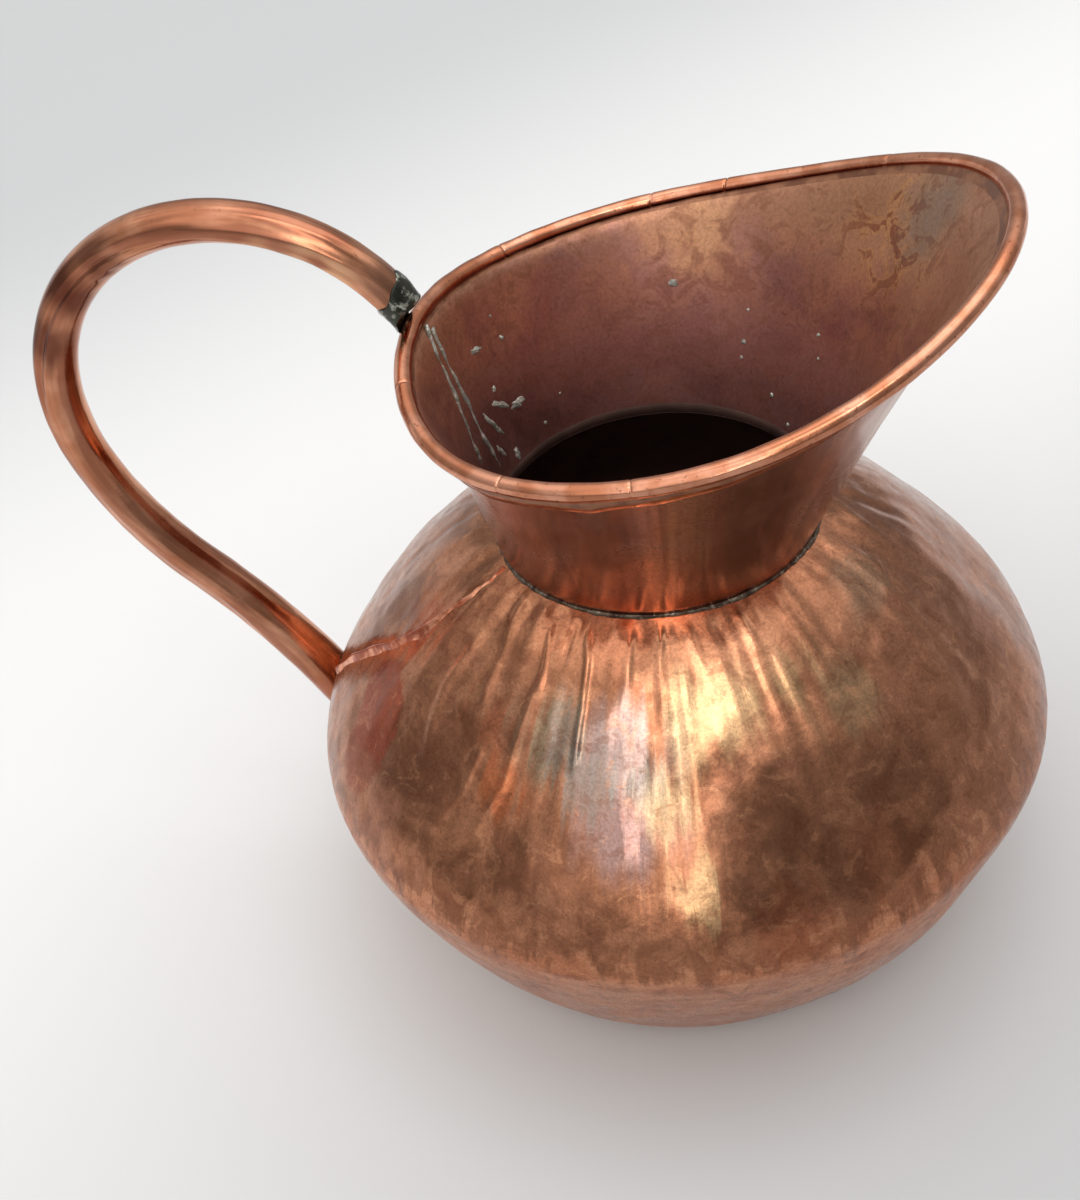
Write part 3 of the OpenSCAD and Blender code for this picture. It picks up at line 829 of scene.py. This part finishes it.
def raised_copper():
    """Copper raised by hammer, old and hand-polished: a clouded brown patina on the shoulder, a heat tint
    of straw, lilac and steel grey in front with painted highlights and a painted dark reflection, a red flush
    by the foot, barer salmon metal below."""
    material, tree, where = metal("raised_copper_patina_and_painted_light")
    cloud, smudge, fleck, sand, tap = patterns(
        tree, where, (19, 4, 0.6, 0.5), (7, 5, 0.65, 1.2), (2.6, 4, 0.65, 0), (0.7, 2, 0.7, 0), (5, 2, 0.5, 0))
    wide, streak, rubbed = patterns(
        tree, round_the_axis(tree, where, 0.11), (9, 3, 0.55, 0.5), (3.4, 4, 0.6, 0.3), (1.3, 3, 0.7, 0))
    level, = patterns(tree, where, (12, 4, 0.6, 0), stretch=(1, 1, 4))

    bare = lay(tree, linear("#BC7B5B"), (level, 0.38, 0.66, 0, 1, "#D19370"))
    brown = lay(tree, linear("#9A674B"), (cloud, 0.38, 0.6, 0, 1, "#BE8262"),
                (streak, 0.44, 0.66, 0, 0.28, "#74483A"))
    both = add(tree, MATH, PLUS, {0: streak, 1: cloud}).outputs[0]
    wander = add(tree, MATH, MINUS, {0: both, 1: 1.0}).outputs[0]
    z = add(tree, SPLIT, {}, {0: where}).outputs["Z"]
    border = add(tree, MATH, TIMES_PLUS, {0: wander, 1: PATINA_WANDER, 2: z}).outputs[0]
    edge_line = together(tree, (border, PATINA_LOW, 0.064), (border, 0.0715, PATINA_HIGH, 0, 0.35))
    colour = lay(tree, bare, (border, PATINA_LOW, PATINA_HIGH, 0, 1, brown), (edge_line, "#6B3D2B"))
    edges = {"cloud": (cloud, 0.75), "wide": (wide, 0.75), "streak": (streak, 0.75),
             "fleck": (fleck, 0.75), "crisp": (cloud, 0.2)}
    # Each stain, painted highlight and painted reflection is laid in turn
    for turn, radius, reach, torn, strength, tint_colour, kind in STAINS_AND_PAINTED_LIGHT:
        edge, soft = edges[kind]
        share = near(tree, where, body_spot(turn, radius), reach, edge, torn * TEAR, strength, soft)
        colour = lay(tree, colour, (share, tint_colour))
    colour = lay(tree, colour,
                 (smudge, 0.53, 0.6, 0, 0.35, "#7A4A36"), (smudge, 0.44, 0.38, 0, 0.3, "#D89B76"),
                 (fleck, 0.62, 0.72, 0, 0.4, "#5E3A2B"), (fleck, 0.36, 0.26, 0, 0.3, "#DDA682"),
                 (sand, 0.4, 0.62, 0, 0.24, "#5A382A"))
    rough = together(tree, (cloud, 0.3, 0.7, 0.13, 0.27))
    for more in ((fleck, 0.4, 0.7, 0, 0.09), (border, PATINA_HIGH, PATINA_LOW, 0, 0.1)):
        rough = add(tree, MATH, PLUS, {0: rough, 1: together(tree, more)}).outputs[0]
    return finish(material, colour, 1.0, rough,
                  (tap, 0.25, 0.3), (wide, 0.35, 0.25), (rubbed, 0.05, 0.4), (sand, 0.03, 0.4))


def lap_copper():
    """Copper where the sheet laps over itself, mottled dark and rubbed bright in patches."""
    material, tree, where = metal("lapped_copper_rubbed_bright")
    patch, dint = patterns(tree, where, (5, 3, 0.6, 0), (1.4, 3, 0.6, 0))
    colour = lay(tree, linear("#9C5036"), (patch, 0.38, 0.62, 0, 1, "#E8A080"))
    return finish(material, colour, 1.0, (patch, 0.3, 0.7, 0.34, 0.2), (dint, 0.12, 0.5))


# Upright bands of painted reflection on the front of the neck, lighter and darker, the narrowest pale ones
# painted highlights:
# (degrees round, half width in degrees, strength, colour)
NECK_PAINTED_REFLECTIONS = [(-118, 12, 0.7, "#D49A80"), (-98, 9, 0.5, "#A2796A"), (-79.5, 3.2, 0.7, "#D8A088"),
               (-69, 8, 0.5, "#A67E6E"), (-55, 9, 0.75, "#93705F"), (-39.5, 2.6, 0.7, "#D09A82"),
               (-20, 8, 0.35, "#C89A82")]


def neck_outside_copper():
    """Rolled copper sheet, polished up and down with fine cloth: satin brown with faint streaks, and upright
    bands of painted reflection on the front.
    """
    material, tree, where = metal("rolled_copper_satin")
    streak, panel, fine_lines = patterns(
        tree, round_the_axis(tree, where, 0.06), (2.2, 4, 0.6, 0), (13, 1, 0.4, 0), (0.8, 3, 0.7, 0))
    cloud, sand, tap = patterns(tree, where, (14, 4, 0.6, 0), (0.7, 2, 0.7, 0), (5, 2, 0.5, 0))
    colour = lay(tree, linear("#A97C6B"), (panel, 0.46, 0.54, 0, 1, "#BC8C78"))
    parts = add(tree, SPLIT, {}, {0: where}).outputs
    turn = add(tree, MATH, TURN_OF, {0: parts["Y"], 1: parts["X"]}).outputs[0]
    turn = add(tree, MATH, TIMES, {0: turn, 1: PER_RADIAN}).outputs[0]
    # Painted reflection: lighter and darker upright bands by angle round the front of the neck
    for aim, half, strength, shade in NECK_PAINTED_REFLECTIONS:
        off = add(tree, MATH, MINUS, {0: turn, 1: aim}).outputs[0]
        off = add(tree, MATH, ABSOLUTE, {0: off}).outputs[0]
        colour = lay(tree, colour, (off, half, half * 0.6, 0, strength, shade))
    lower = together(tree, (parts["Z"], 0.129, 0.119), (cloud, 0.4, 0.6, 0.1, 0.8))
    colour = lay(tree, colour,
                 (streak, 0.45, 0.7, 0, 0.3, "#70402F"), (cloud, 0.5, 0.68, 0, 0.4, "#94684A"),
                 (sand, 0.4, 0.62, 0, 0.25, "#502E24"), (lower, "#B0603F"))
    return finish(material, colour, 1.0, (cloud, 0.3, 0.7, 0.2, 0.3),
                  (fine_lines, 0.03, 0.35), (tap, 0.14, 0.2))


# Places on the neck's inside, in mm
OCHRE_AT, WARM_AT, COLD_AT = (52, 31, 171), (2, 50, 160), (60, 27, 176)


def neck_inside_copper():
    """Copper left to tarnish inside the mouth: plum brown below, ochre and rust mottling near the
    lip, a cold grey stain by the spout, and pale specks."""
    material, tree, where = metal("tarnished_copper_inside")
    cloud, mottle, fleck, sand = patterns(
        tree, where, (17, 4, 0.62, 0.5), (7, 5, 0.6, 1.4), (1.6, 3, 0.6, 0), (0.8, 2, 0.7, 0))
    z = add(tree, SPLIT, {}, {0: where}).outputs["Z"]
    # Height with the mottling added, which lifts it by 15 mm on the whole
    ragged_z = add(tree, MATH, TIMES_PLUS, {0: mottle, 1: 0.03, 2: z}).outputs[0]
    ochre_here = near(tree, where, OCHRE_AT, 25, mottle, 16)
    ochre = together(tree, ochre_here, (mottle, 0.46, 0.53, 0.15, 0.75))
    rust = together(tree, ochre_here, (mottle, 0.55, 0.58, 0, 0.8))
    warm = together(tree, near(tree, where, WARM_AT, 16, mottle, 12), (cloud, 0.4, 0.6, 0.2, 0.8))
    cold = near(tree, where, COLD_AT, 15, cloud, 12, 0.6)
    plum = together(tree, (z, 0.158, 0.13), (cloud, 0.35, 0.65, 0.3, 0.9))
    colour = lay(tree, linear("#A4736A"),
                 (cloud, 0.38, 0.62, 0, 1, "#B27A62"), (ragged_z, 0.165, 0.187, 0, 1, "#AE7E62"),
                 (ochre, "#CB9462"), (rust, "#94523C"), (warm, "#CF9B74"), (cold, "#7C746C"), (plum, "#8B6262"),
                 (mottle, 0.5, 0.6, 0, 0.4, "#84503F"), (fleck, 0.64, 0.74, 0, 0.35, "#4A2A22"),
                 (sand, 0.4, 0.62, 0, 0.2, "#4A3028"), (fleck, 0.34, 0.26, 0, 0.25, "#B08A74"))
    return finish(material, colour, (cloud, 0.35, 0.65, 0.9, 0.72), (mottle, 0.3, 0.7, 0.38, 0.52),
                  (mottle, 0.12, 0.3))


def rolled_edge_copper():
    """The wired edge, rubbed bright by hands and cloths, brown left in its hollows."""
    material, tree, where = metal("rolled_edge_worn_bright")
    patch, fleck, dint = patterns(tree, where, (9, 3, 0.6, 0), (1.3, 3, 0.6, 0), (2.2, 3, 0.6, 0))
    colour = lay(tree, linear("#BA7758"),
                 (patch, 0.38, 0.62, 0, 1, "#D4967A"), (fleck, 0.6, 0.72, 0, 0.6, "#6A3D2C"))
    return finish(material, colour, 1.0, (fleck, 0.3, 0.7, 0.1, 0.24), (dint, 0.08, 0.35))


# Darker and brighter places on the handle, among them painted highlights near the top end and painted shade
# along the crease of the left bend:
# (distance along in mm, side in degrees, reach in mm, strength, colour)
HANDLE_TINTS_AND_PAINTED_LIGHT = [
    # (134, -74), (150, -92) and (163, -100) are painted shade along the crease at the left bend
    (6, -80, 15, 0.5, "#9A4C35"), (134, -74, 10, 0.85, "#5C3024"), (150, -92, 10, 0.9, "#5C3024"),
    (163, -100, 8, 0.7, "#5C3024"), (60, -110, 22, 0.25, "#8A5040"), (196, 0, 20, 0.4, "#8F5A44"),
    # (204, -122), (213, -124) and (222, -126) are painted highlights along the lower side near the top end
    (232, -20, 7, 0.6, "#6E4A3C"), (204, -122, 7, 0.4, "#EBB48C"), (213, -124, 7, 0.45, "#FFCDA0"),
    (222, -126, 6, 0.45, "#FFCDA0"),
]


def handle_copper():
    """Copper tube bent by hand and polished lengthwise: satin salmon with long soft lines, painted highlights
    near the top end and painted shade along the crease of the left bend.
    """
    material, tree, where = metal("bent_copper_tube_satin")
    chart = add(tree, "ShaderNodeUVMap", {"uv_map": "along_tube"}).outputs[0]
    # The map's second number is a full turn, about 33 mm of skin
    skin = 0.033
    long_lines, = patterns(tree, chart, (0.8, 4, 0.65, 0), stretch=(0.05, skin, 1))
    band, = patterns(tree, chart, (4.5, 2, 0.5, 0), stretch=(0.12, skin, 1))
    cloud, fleck, tap = patterns(tree, where, (15, 3, 0.6, 0), (1.8, 4, 0.65, 0), (3.5, 2, 0.5, 0))
    colour = lay(tree, linear("#B67859"),
                 (cloud, 0.36, 0.64, 0, 1, "#D69A7A"), (band, 0.48, 0.6, 0, 0.6, "#8A5240"),
                 (long_lines, 0.5, 0.68, 0, 0.45, "#925A44"), (fleck, 0.64, 0.73, 0, 0.5, "#70402E"))
    # Each tint, painted highlight and painted shade is laid in turn
    for run, side, reach, strength, tint_colour in HANDLE_TINTS_AND_PAINTED_LIGHT:
        share = near(tree, where, tuple(handle_point(run, side)), reach, band, 8, strength)
        colour = lay(tree, colour, (share, tint_colour))
    return finish(material, colour, 1.0, (cloud, 0.3, 0.7, 0.12, 0.25),
                  (long_lines, 0.04, 0.35), (tap, 0.12, 0.25))


def crease_shade_copper():
    """Painted shade in the creases beside the rolled edge and in the gap under its laid tail: dull dark brown.
    """
    material, tree, where = metal("copper_painted_shade_in_creases")
    patch, = patterns(tree, where, (5, 3, 0.6, 0))
    colour = lay(tree, linear("#7A5240"), (patch, 0.38, 0.62, 0, 1, "#9E7056"))
    return finish(material, colour, 0.8, (patch, 0.3, 0.7, 0.35, 0.55))


def dark_inside_copper():
    """Copper deep inside the vessel: thick dull brown tarnish that gives almost no gloss."""
    material, tree, where = metal("blackened_copper_inside")
    cloud, = patterns(tree, where, (12, 3, 0.6, 0))
    colour = lay(tree, linear("#5E4A44"), (cloud, 0.35, 0.65, 0, 1, "#70574E"))
    return finish(material, colour, 0.35, (cloud, 0.35, 0.65, 0.7, 0.85), (cloud, 0.2, 0.3))


def base_copper():
    """Base disc: scuffed copper below, the vessel's dark tarnish on its upper face."""
    material, tree, where = metal("base_copper_scuffed")
    scuff, cloud = patterns(tree, where, (2, 4, 0.7, 0), (14, 3, 0.6, 0))
    z = add(tree, SPLIT, {}, {0: where}).outputs["Z"]
    upper = together(tree, (z, 0.4 * MM, 0.7 * MM))
    colour = lay(tree, linear("#A56A4D"), (cloud, 0.36, 0.64, 0, 1, "#C88C69"),
                 (scuff, 0.55, 0.7, 0, 0.6, "#6B4333"), (upper, "#644F48"))
    return finish(material, colour, (upper, 0, 1, 1.0, 0.35), (upper, 0, 1, 0.36, 0.8), (scuff, 0.06, 0.4))


def soft_solder(name, dull, pale, dark, shine, lump_mm=2.6, bright=0.9):
    """Tin and lead solder wiped while soft: lumpy, grey, with oxide in the hollows."""
    material, tree, where = metal(name)
    lump, fine_lump = patterns(tree, where, (lump_mm, 3, 0.55, 0), (lump_mm / 2.6, 3, 0.6, 0))
    colour = lay(tree, linear(dark), (lump, 0.38, 0.6, 0, 1, dull), (fine_lump, 0.54, 0.66, 0, 0.9, pale))
    return finish(material, colour, bright, (fine_lump, 0.35, 0.65, shine + 0.25, shine),
                  (fine_lump, 0.08, 0.35), (lump, 0.35, 0.5))


def iron_wire():
    """Drawn iron wire inside the rolled edge: dark and smooth with a brown bloom."""
    material, tree, where = metal("drawn_iron_wire")
    bloom, = patterns(tree, where, (4, 3, 0.6, 0))
    colour = lay(tree, linear("#5B5650"), (bloom, 0.4, 0.65, 0, 1, "#6A4C3A"))
    return finish(material, colour, 0.9, (bloom, 0.3, 0.7, 0.35, 0.55))


# ---------------------------------------------------------------- spattered solder drops
# (degrees round, place up the wall, size in mm)
DROPS = [(91, 0.60, 0.95), (68, 0.31, 0.6), (68, 0.24, 0.5), (54, 0.11, 0.65), (43, 0.38, 0.4),
         (40, 0.30, 0.4), (44, 0.03, 0.5), (68, 0.45, 0.35), (134, 0.2, 0.35), (150, 0.76, 0.3),
         (200, 0.3, 0.5), (215, 0.5, 0.4), (143, 0.09, 0.45)]


def drop_tree(solder):
    """Spreads flattened beads of solder over given places, each turned to lie on the wall."""
    tree = bpy.data.node_groups.new("solder_drops", "GeometryNodeTree")
    face = tree.interface
    face.new_socket("Geometry", in_out="INPUT", socket_type="NodeSocketGeometry")
    for name, kind in (("Drop Height", "NodeSocketFloat"), ("Seed", "NodeSocketInt")):
        face.new_socket(name, in_out="INPUT", socket_type=kind)
    face.new_socket("Geometry", in_out="OUTPUT", socket_type="NodeSocketGeometry")
    given = add(tree, "NodeGroupInput")
    ball = add(tree, "GeometryNodeMeshIcoSphere", {}, {"Radius": MM, "Subdivisions": 3})
    rough = add(tree, NOISE, {}, {"Scale": 900.0, "Detail": 1.0})
    either_way = add(tree, VECTOR, MINUS, {0: rough.outputs["Color"], 1: (0.5, 0.5, 0.5)})
    shift = add(tree, VECTOR, {"operation": "SCALE"}, {0: either_way.outputs[0], "Scale": 0.9 * MM})
    lumpy = add(tree, "GeometryNodeSetPosition", {},
                {"Geometry": ball.outputs["Mesh"], "Offset": shift.outputs[0]})
    size = add(tree, "GeometryNodeInputNamedAttribute", {"data_type": "FLOAT"}, {"Name": "size"})
    stands = add(tree, "GeometryNodeInputNamedAttribute", {"data_type": "FLOAT_VECTOR"}, {"Name": "stands"})
    turned = add(tree, "FunctionNodeAlignRotationToVector", {"axis": "Z"},
                 {"Vector": stands.outputs["Attribute"]})
    vary = add(tree, "FunctionNodeRandomValue", {"data_type": "FLOAT"},
               {2: 0.7, 3: 1.3, "Seed": given.outputs["Seed"]})
    across = size.outputs["Attribute"]
    wide = add(tree, MATH, TIMES, {0: across, 1: vary.outputs[1]}).outputs[0]
    high = add(tree, MATH, TIMES, {0: across, 1: given.outputs["Drop Height"]}).outputs[0]
    scale = add(tree, "ShaderNodeCombineXYZ", {}, {0: wide, 1: across, 2: high})
    placed = add(tree, "GeometryNodeInstanceOnPoints", {}, {
        "Points": given.outputs["Geometry"], "Instance": lumpy.outputs["Geometry"],
        "Rotation": turned.outputs["Rotation"], "Scale": scale.outputs[0]})
    real = add(tree, "GeometryNodeRealizeInstances", {}, {"Geometry": placed.outputs["Instances"]})
    painted = add(tree, "GeometryNodeSetMaterial", {},
                  {"Geometry": real.outputs["Geometry"], "Material": solder})
    add(tree, "NodeGroupOutput", {}, {"Geometry": painted.outputs["Geometry"]})
    return tree


def solder_drops(solder):
    turn, place, size = (np.array([d[k] for d in DROPS]) for k in range(3))
    here = wall_at(rad(turn), place, NECK_T)
    ahead = wall_at(rad(turn + 1), place, NECK_T) - here
    up = wall_at(rad(turn), place + 0.01, NECK_T) - here
    stands = np.cross(ahead, up)
    stands /= np.linalg.norm(stands, axis=1)[:, None]
    inward = np.sign(-(stands[:, 0] * here[:, 0] + stands[:, 1] * here[:, 1]))
    stands *= inward[:, None]
    mesh = bpy.data.meshes.new("drop_places")
    mesh.from_pydata((here * MM).tolist(), [], [])
    mesh.attributes.new("size", "FLOAT", "POINT").data.foreach_set("value", size)
    mesh.attributes.new("stands", "FLOAT_VECTOR", "POINT").data.foreach_set("vector", stands.reshape(-1))
    places = bpy.data.objects.new("drop_places", mesh)
    bpy.context.scene.collection.objects.link(places)
    tree = drop_tree(solder)
    modifier = places.modifiers.new("drops", "NODES")
    modifier.node_group = tree
    sockets = {s.name: s.identifier for s in tree.interface.items_tree if s.in_out == "INPUT"}
    modifier[sockets["Drop Height"]] = 0.45
    modifier[sockets["Seed"]] = 7
    made = bpy.data.meshes.new_from_object(places.evaluated_get(bpy.context.evaluated_depsgraph_get()))
    made.polygons.foreach_set("use_smooth", np.full(len(made.polygons), True))
    bpy.data.objects.remove(places)
    piece = bpy.data.objects.new("solder_drops", made)
    bpy.context.scene.collection.objects.link(piece)
    return piece


# ---------------------------------------------------------------- the pieces
inside_dark = dark_inside_copper()
solder_grey = soft_solder("soft_solder_wiped_grey", "#665A4E", "#94897A", "#40322A", 0.36)
solder_dark = soft_solder("soft_solder_blackened", "#45463F", "#B9BAAE", "#2E2F2B", 0.12, 6.5)
solder_pale = soft_solder("soft_solder_spatter", "#A3A69E", "#D6D6CC", "#7F8078", 0.28, 2.6, 0.35)

seat(raised_body(raised_copper(), inside_dark), "body_copper", "body_shell")
seat(lap_ridge(lap_copper()), "seam_copper", "body_seam")
neck_finishes = neck_outside_copper(), neck_inside_copper(), rolled_edge_copper(), crease_shade_copper(), inside_dark
seat(flared_neck(*neck_finishes), "neck_copper", "neck_cone")
seat(neck_solder_run(solder_grey), "solder", "neck_solder")
seat(neck_lap_solder(solder_pale), "solder", "neck_seam")
seat(solder_drops(solder_pale), "solder")
seat(handle(handle_copper()), "handle_copper", "handle_tube")
seat(foot_solder(solder_grey), "solder", "handle_foot_solder")
seat(top_solder(solder_dark), "solder", "handle_top_solder")

# Frame nodes shown as they are
for node_name, look in (("base_disc", base_copper()), ("base_solder", solder_grey), ("rim_wire", iron_wire())):
    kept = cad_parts[node_name]
    kept.data.materials.clear()
    kept.data.materials.append(look)


# ---------------------------------------------------------------- studio
def pale_floor():
    """Matt pale sweep with painted light: palest in a band across the middle, with painted shade, a little
    greyer, towards two opposite corners.
    """
    material, tree, where = metal("matt_pale_floor")
    # Painted light and shade: palest along a line through the middle, greyer away from it
    lean = add(tree, VECTOR, {"operation": "DOT_PRODUCT"}, {0: where, 1: (0.74, -0.672, 0)}).outputs["Value"]
    off = add(tree, MATH, PLUS, {0: lean, 1: 0.177}).outputs[0]
    off = add(tree, MATH, ABSOLUTE, {0: off}).outputs[0]
    colour = lay(tree, linear("#DFE0E2"), (off, 0.02, 0.36, 0, 1, "#BDBFC2"))
    return finish(material, colour, 0.0, 0.9, specular=0.1)


def pale_wall():
    """Matt wall in the same pale grey as the far floor."""
    material = metal("matt_pale_wall")[0]
    return finish(material, linear("#D6D8DA"), 0.0, 0.9)


def stand(name, points, faces, material):
    """A piece of the studio, not of the object."""
    mesh = bpy.data.meshes.new(name)
    mesh.from_pydata(points, [], faces)
    mesh.materials.append(material)
    thing = bpy.data.objects.new(name, mesh)
    bpy.context.scene.collection.objects.link(thing)
    return thing


FLOOR_R, WALL_R, WALL_HIGH, SIDES = 4.0, 3.9, 5.0, 64
corners = [(math.cos(2 * math.pi * k / SIDES), math.sin(2 * math.pi * k / SIDES)) for k in range(SIDES)]
stand("floor", [(FLOOR_R * x, FLOOR_R * y, 0) for x, y in corners], [list(range(SIDES))], pale_floor())
# A pale wall closes the sweep behind low views; it lights and reflects nothing
backdrop = stand("backdrop", [(WALL_R * x, WALL_R * y, z) for z in (0, WALL_HIGH) for x, y in corners],
                 [(k, k + SIDES, (k + 1) % SIDES + SIDES, (k + 1) % SIDES) for k in range(SIDES)], pale_wall())
for ray in ("glossy", "diffuse", "shadow", "transmission", "volume_scatter"):
    setattr(backdrop, "visible_" + ray, False)

# The room's plain light by height in degrees: a pale ground, dim walls and a bright ceiling
ROOM_LEVELS = ((-8, 0.36), (5, 0.33), (20, 0.38), (33, 0.55), (47, 0.95), (62, 1.1))
# Patches in it: (left, right, low, high, softness in degrees), share, colour
ROOM_PATCHES = (
    ((-70, -2, -20, 40, 6), 0.5, (0.13, 0.125, 0.12, 1)),    # a dark cupboard, right of the window
    ((136, 172, -4, 14, 5), 0.8, (0.78, 0.76, 0.73, 1)),     # a lit wall behind, on the left
    ((-132, -92, 14, 62, 12), 0.85, (1.25, 1.23, 1.2, 1)),   # daylight spread left of the window
    ((-102, -50, 47, 62, 3), 1.0, (3.1, 2.98, 2.8, 1)),      # the window's upper part
    ((-91, -80, 10, 48, 2), 1.0, (2.6, 2.5, 2.35, 1)),       # and the strip left open below it
)
ROOM_STRENGTH = 1.3

world = bpy.data.worlds.new("room")
bpy.context.scene.world = world
world.use_nodes = True
room = world.node_tree
room.nodes.clear()
look = add(room, "ShaderNodeTexCoord").outputs["Generated"]
parts = add(room, SPLIT, {}, {0: look}).outputs
azimuth = add(room, MATH, TURN_OF, {0: parts["Y"], 1: parts["X"]}).outputs[0]
azimuth = add(room, MATH, TIMES, {0: azimuth, 1: PER_RADIAN}).outputs[0]
elevation = add(room, MATH, {"operation": "ARCSINE"}, {0: parts["Z"]}).outputs[0]
elevation = add(room, MATH, TIMES, {0: elevation, 1: PER_RADIAN}).outputs[0]
climb = add(room, RANGE, {}, {"Value": elevation, "From Min": -90.0, "From Max": 90.0}).outputs[0]
ramp = add(room, "ShaderNodeValToRGB", {}, {0: climb})
stops = ramp.color_ramp.elements
stops[0].position, stops[0].color = 0.0, (0.5, 0.5, 0.5, 1)
stops[1].position, stops[1].color = 1.0, (1.0, 1.0, 0.99, 1)
for height, level in ROOM_LEVELS:
    stop = stops.new((height + 90) / 180)
    stop.color = (level, level * 0.985, level * 0.96, 1)
light = ramp.outputs[0]
for (left, right, low, high, soft), share, glow in ROOM_PATCHES:
    patch = together(room, (azimuth, left - soft, left + soft), (azimuth, right + soft, right - soft),
                     (elevation, low - soft, low + soft), (elevation, high + soft, high - soft, 0, share))
    light = lay(room, light, (patch, glow))
back = add(room, "ShaderNodeBackground", {}, {"Color": light, "Strength": ROOM_STRENGTH})
add(room, "ShaderNodeOutputWorld", {}, {"Surface": back.outputs[0]})

# One wide soft light almost overhead
SOFTBOX_WIDE, SOFTBOX_WATTS, SOFTBOX_FAR = 1.4, 5, 1.6
SOFTBOX_AZIMUTH, SOFTBOX_ELEVATION, JUG_MIDDLE = 60, 78, 0.08
softbox = bpy.data.lights.new("overhead", "AREA")
softbox.shape = "RECTANGLE"
softbox.size = softbox.size_y = SOFTBOX_WIDE
softbox.energy = SOFTBOX_WATTS
lamp = bpy.data.objects.new("overhead", softbox)
bpy.context.scene.collection.objects.link(lamp)
lamp.matrix_world = (
    Matrix.Translation((0, 0, JUG_MIDDLE))
    @ Matrix.Rotation(math.radians(SOFTBOX_AZIMUTH + 90), 4, "Z")
    @ Matrix.Rotation(math.radians(90 - SOFTBOX_ELEVATION), 4, "X")
    @ Matrix.Translation((0, 0, SOFTBOX_FAR)))
lamp.visible_camera = False

CAMERA_AT = (0.06913, -0.299435, 0.361886)
CAMERA_PAN, CAMERA_DOWN, CAMERA_ROLL = 18.663, 40.973, -10.160
camera_data = bpy.data.cameras.new("camera")
camera_data.sensor_width = 36
camera_data.lens = 51
camera_data.clip_start = 0.01
camera = bpy.data.objects.new("camera", camera_data)
bpy.context.scene.collection.objects.link(camera)
camera.matrix_world = (
    Matrix.Translation(CAMERA_AT)
    @ Matrix.Rotation(math.radians(CAMERA_PAN), 4, "Z")
    @ Matrix.Rotation(math.radians(90 - CAMERA_DOWN), 4, "X")
    @ Matrix.Rotation(math.radians(CAMERA_ROLL), 4, "Z"))
bpy.context.scene.camera = camera
bpy.context.scene.view_settings.view_transform = "Standard"
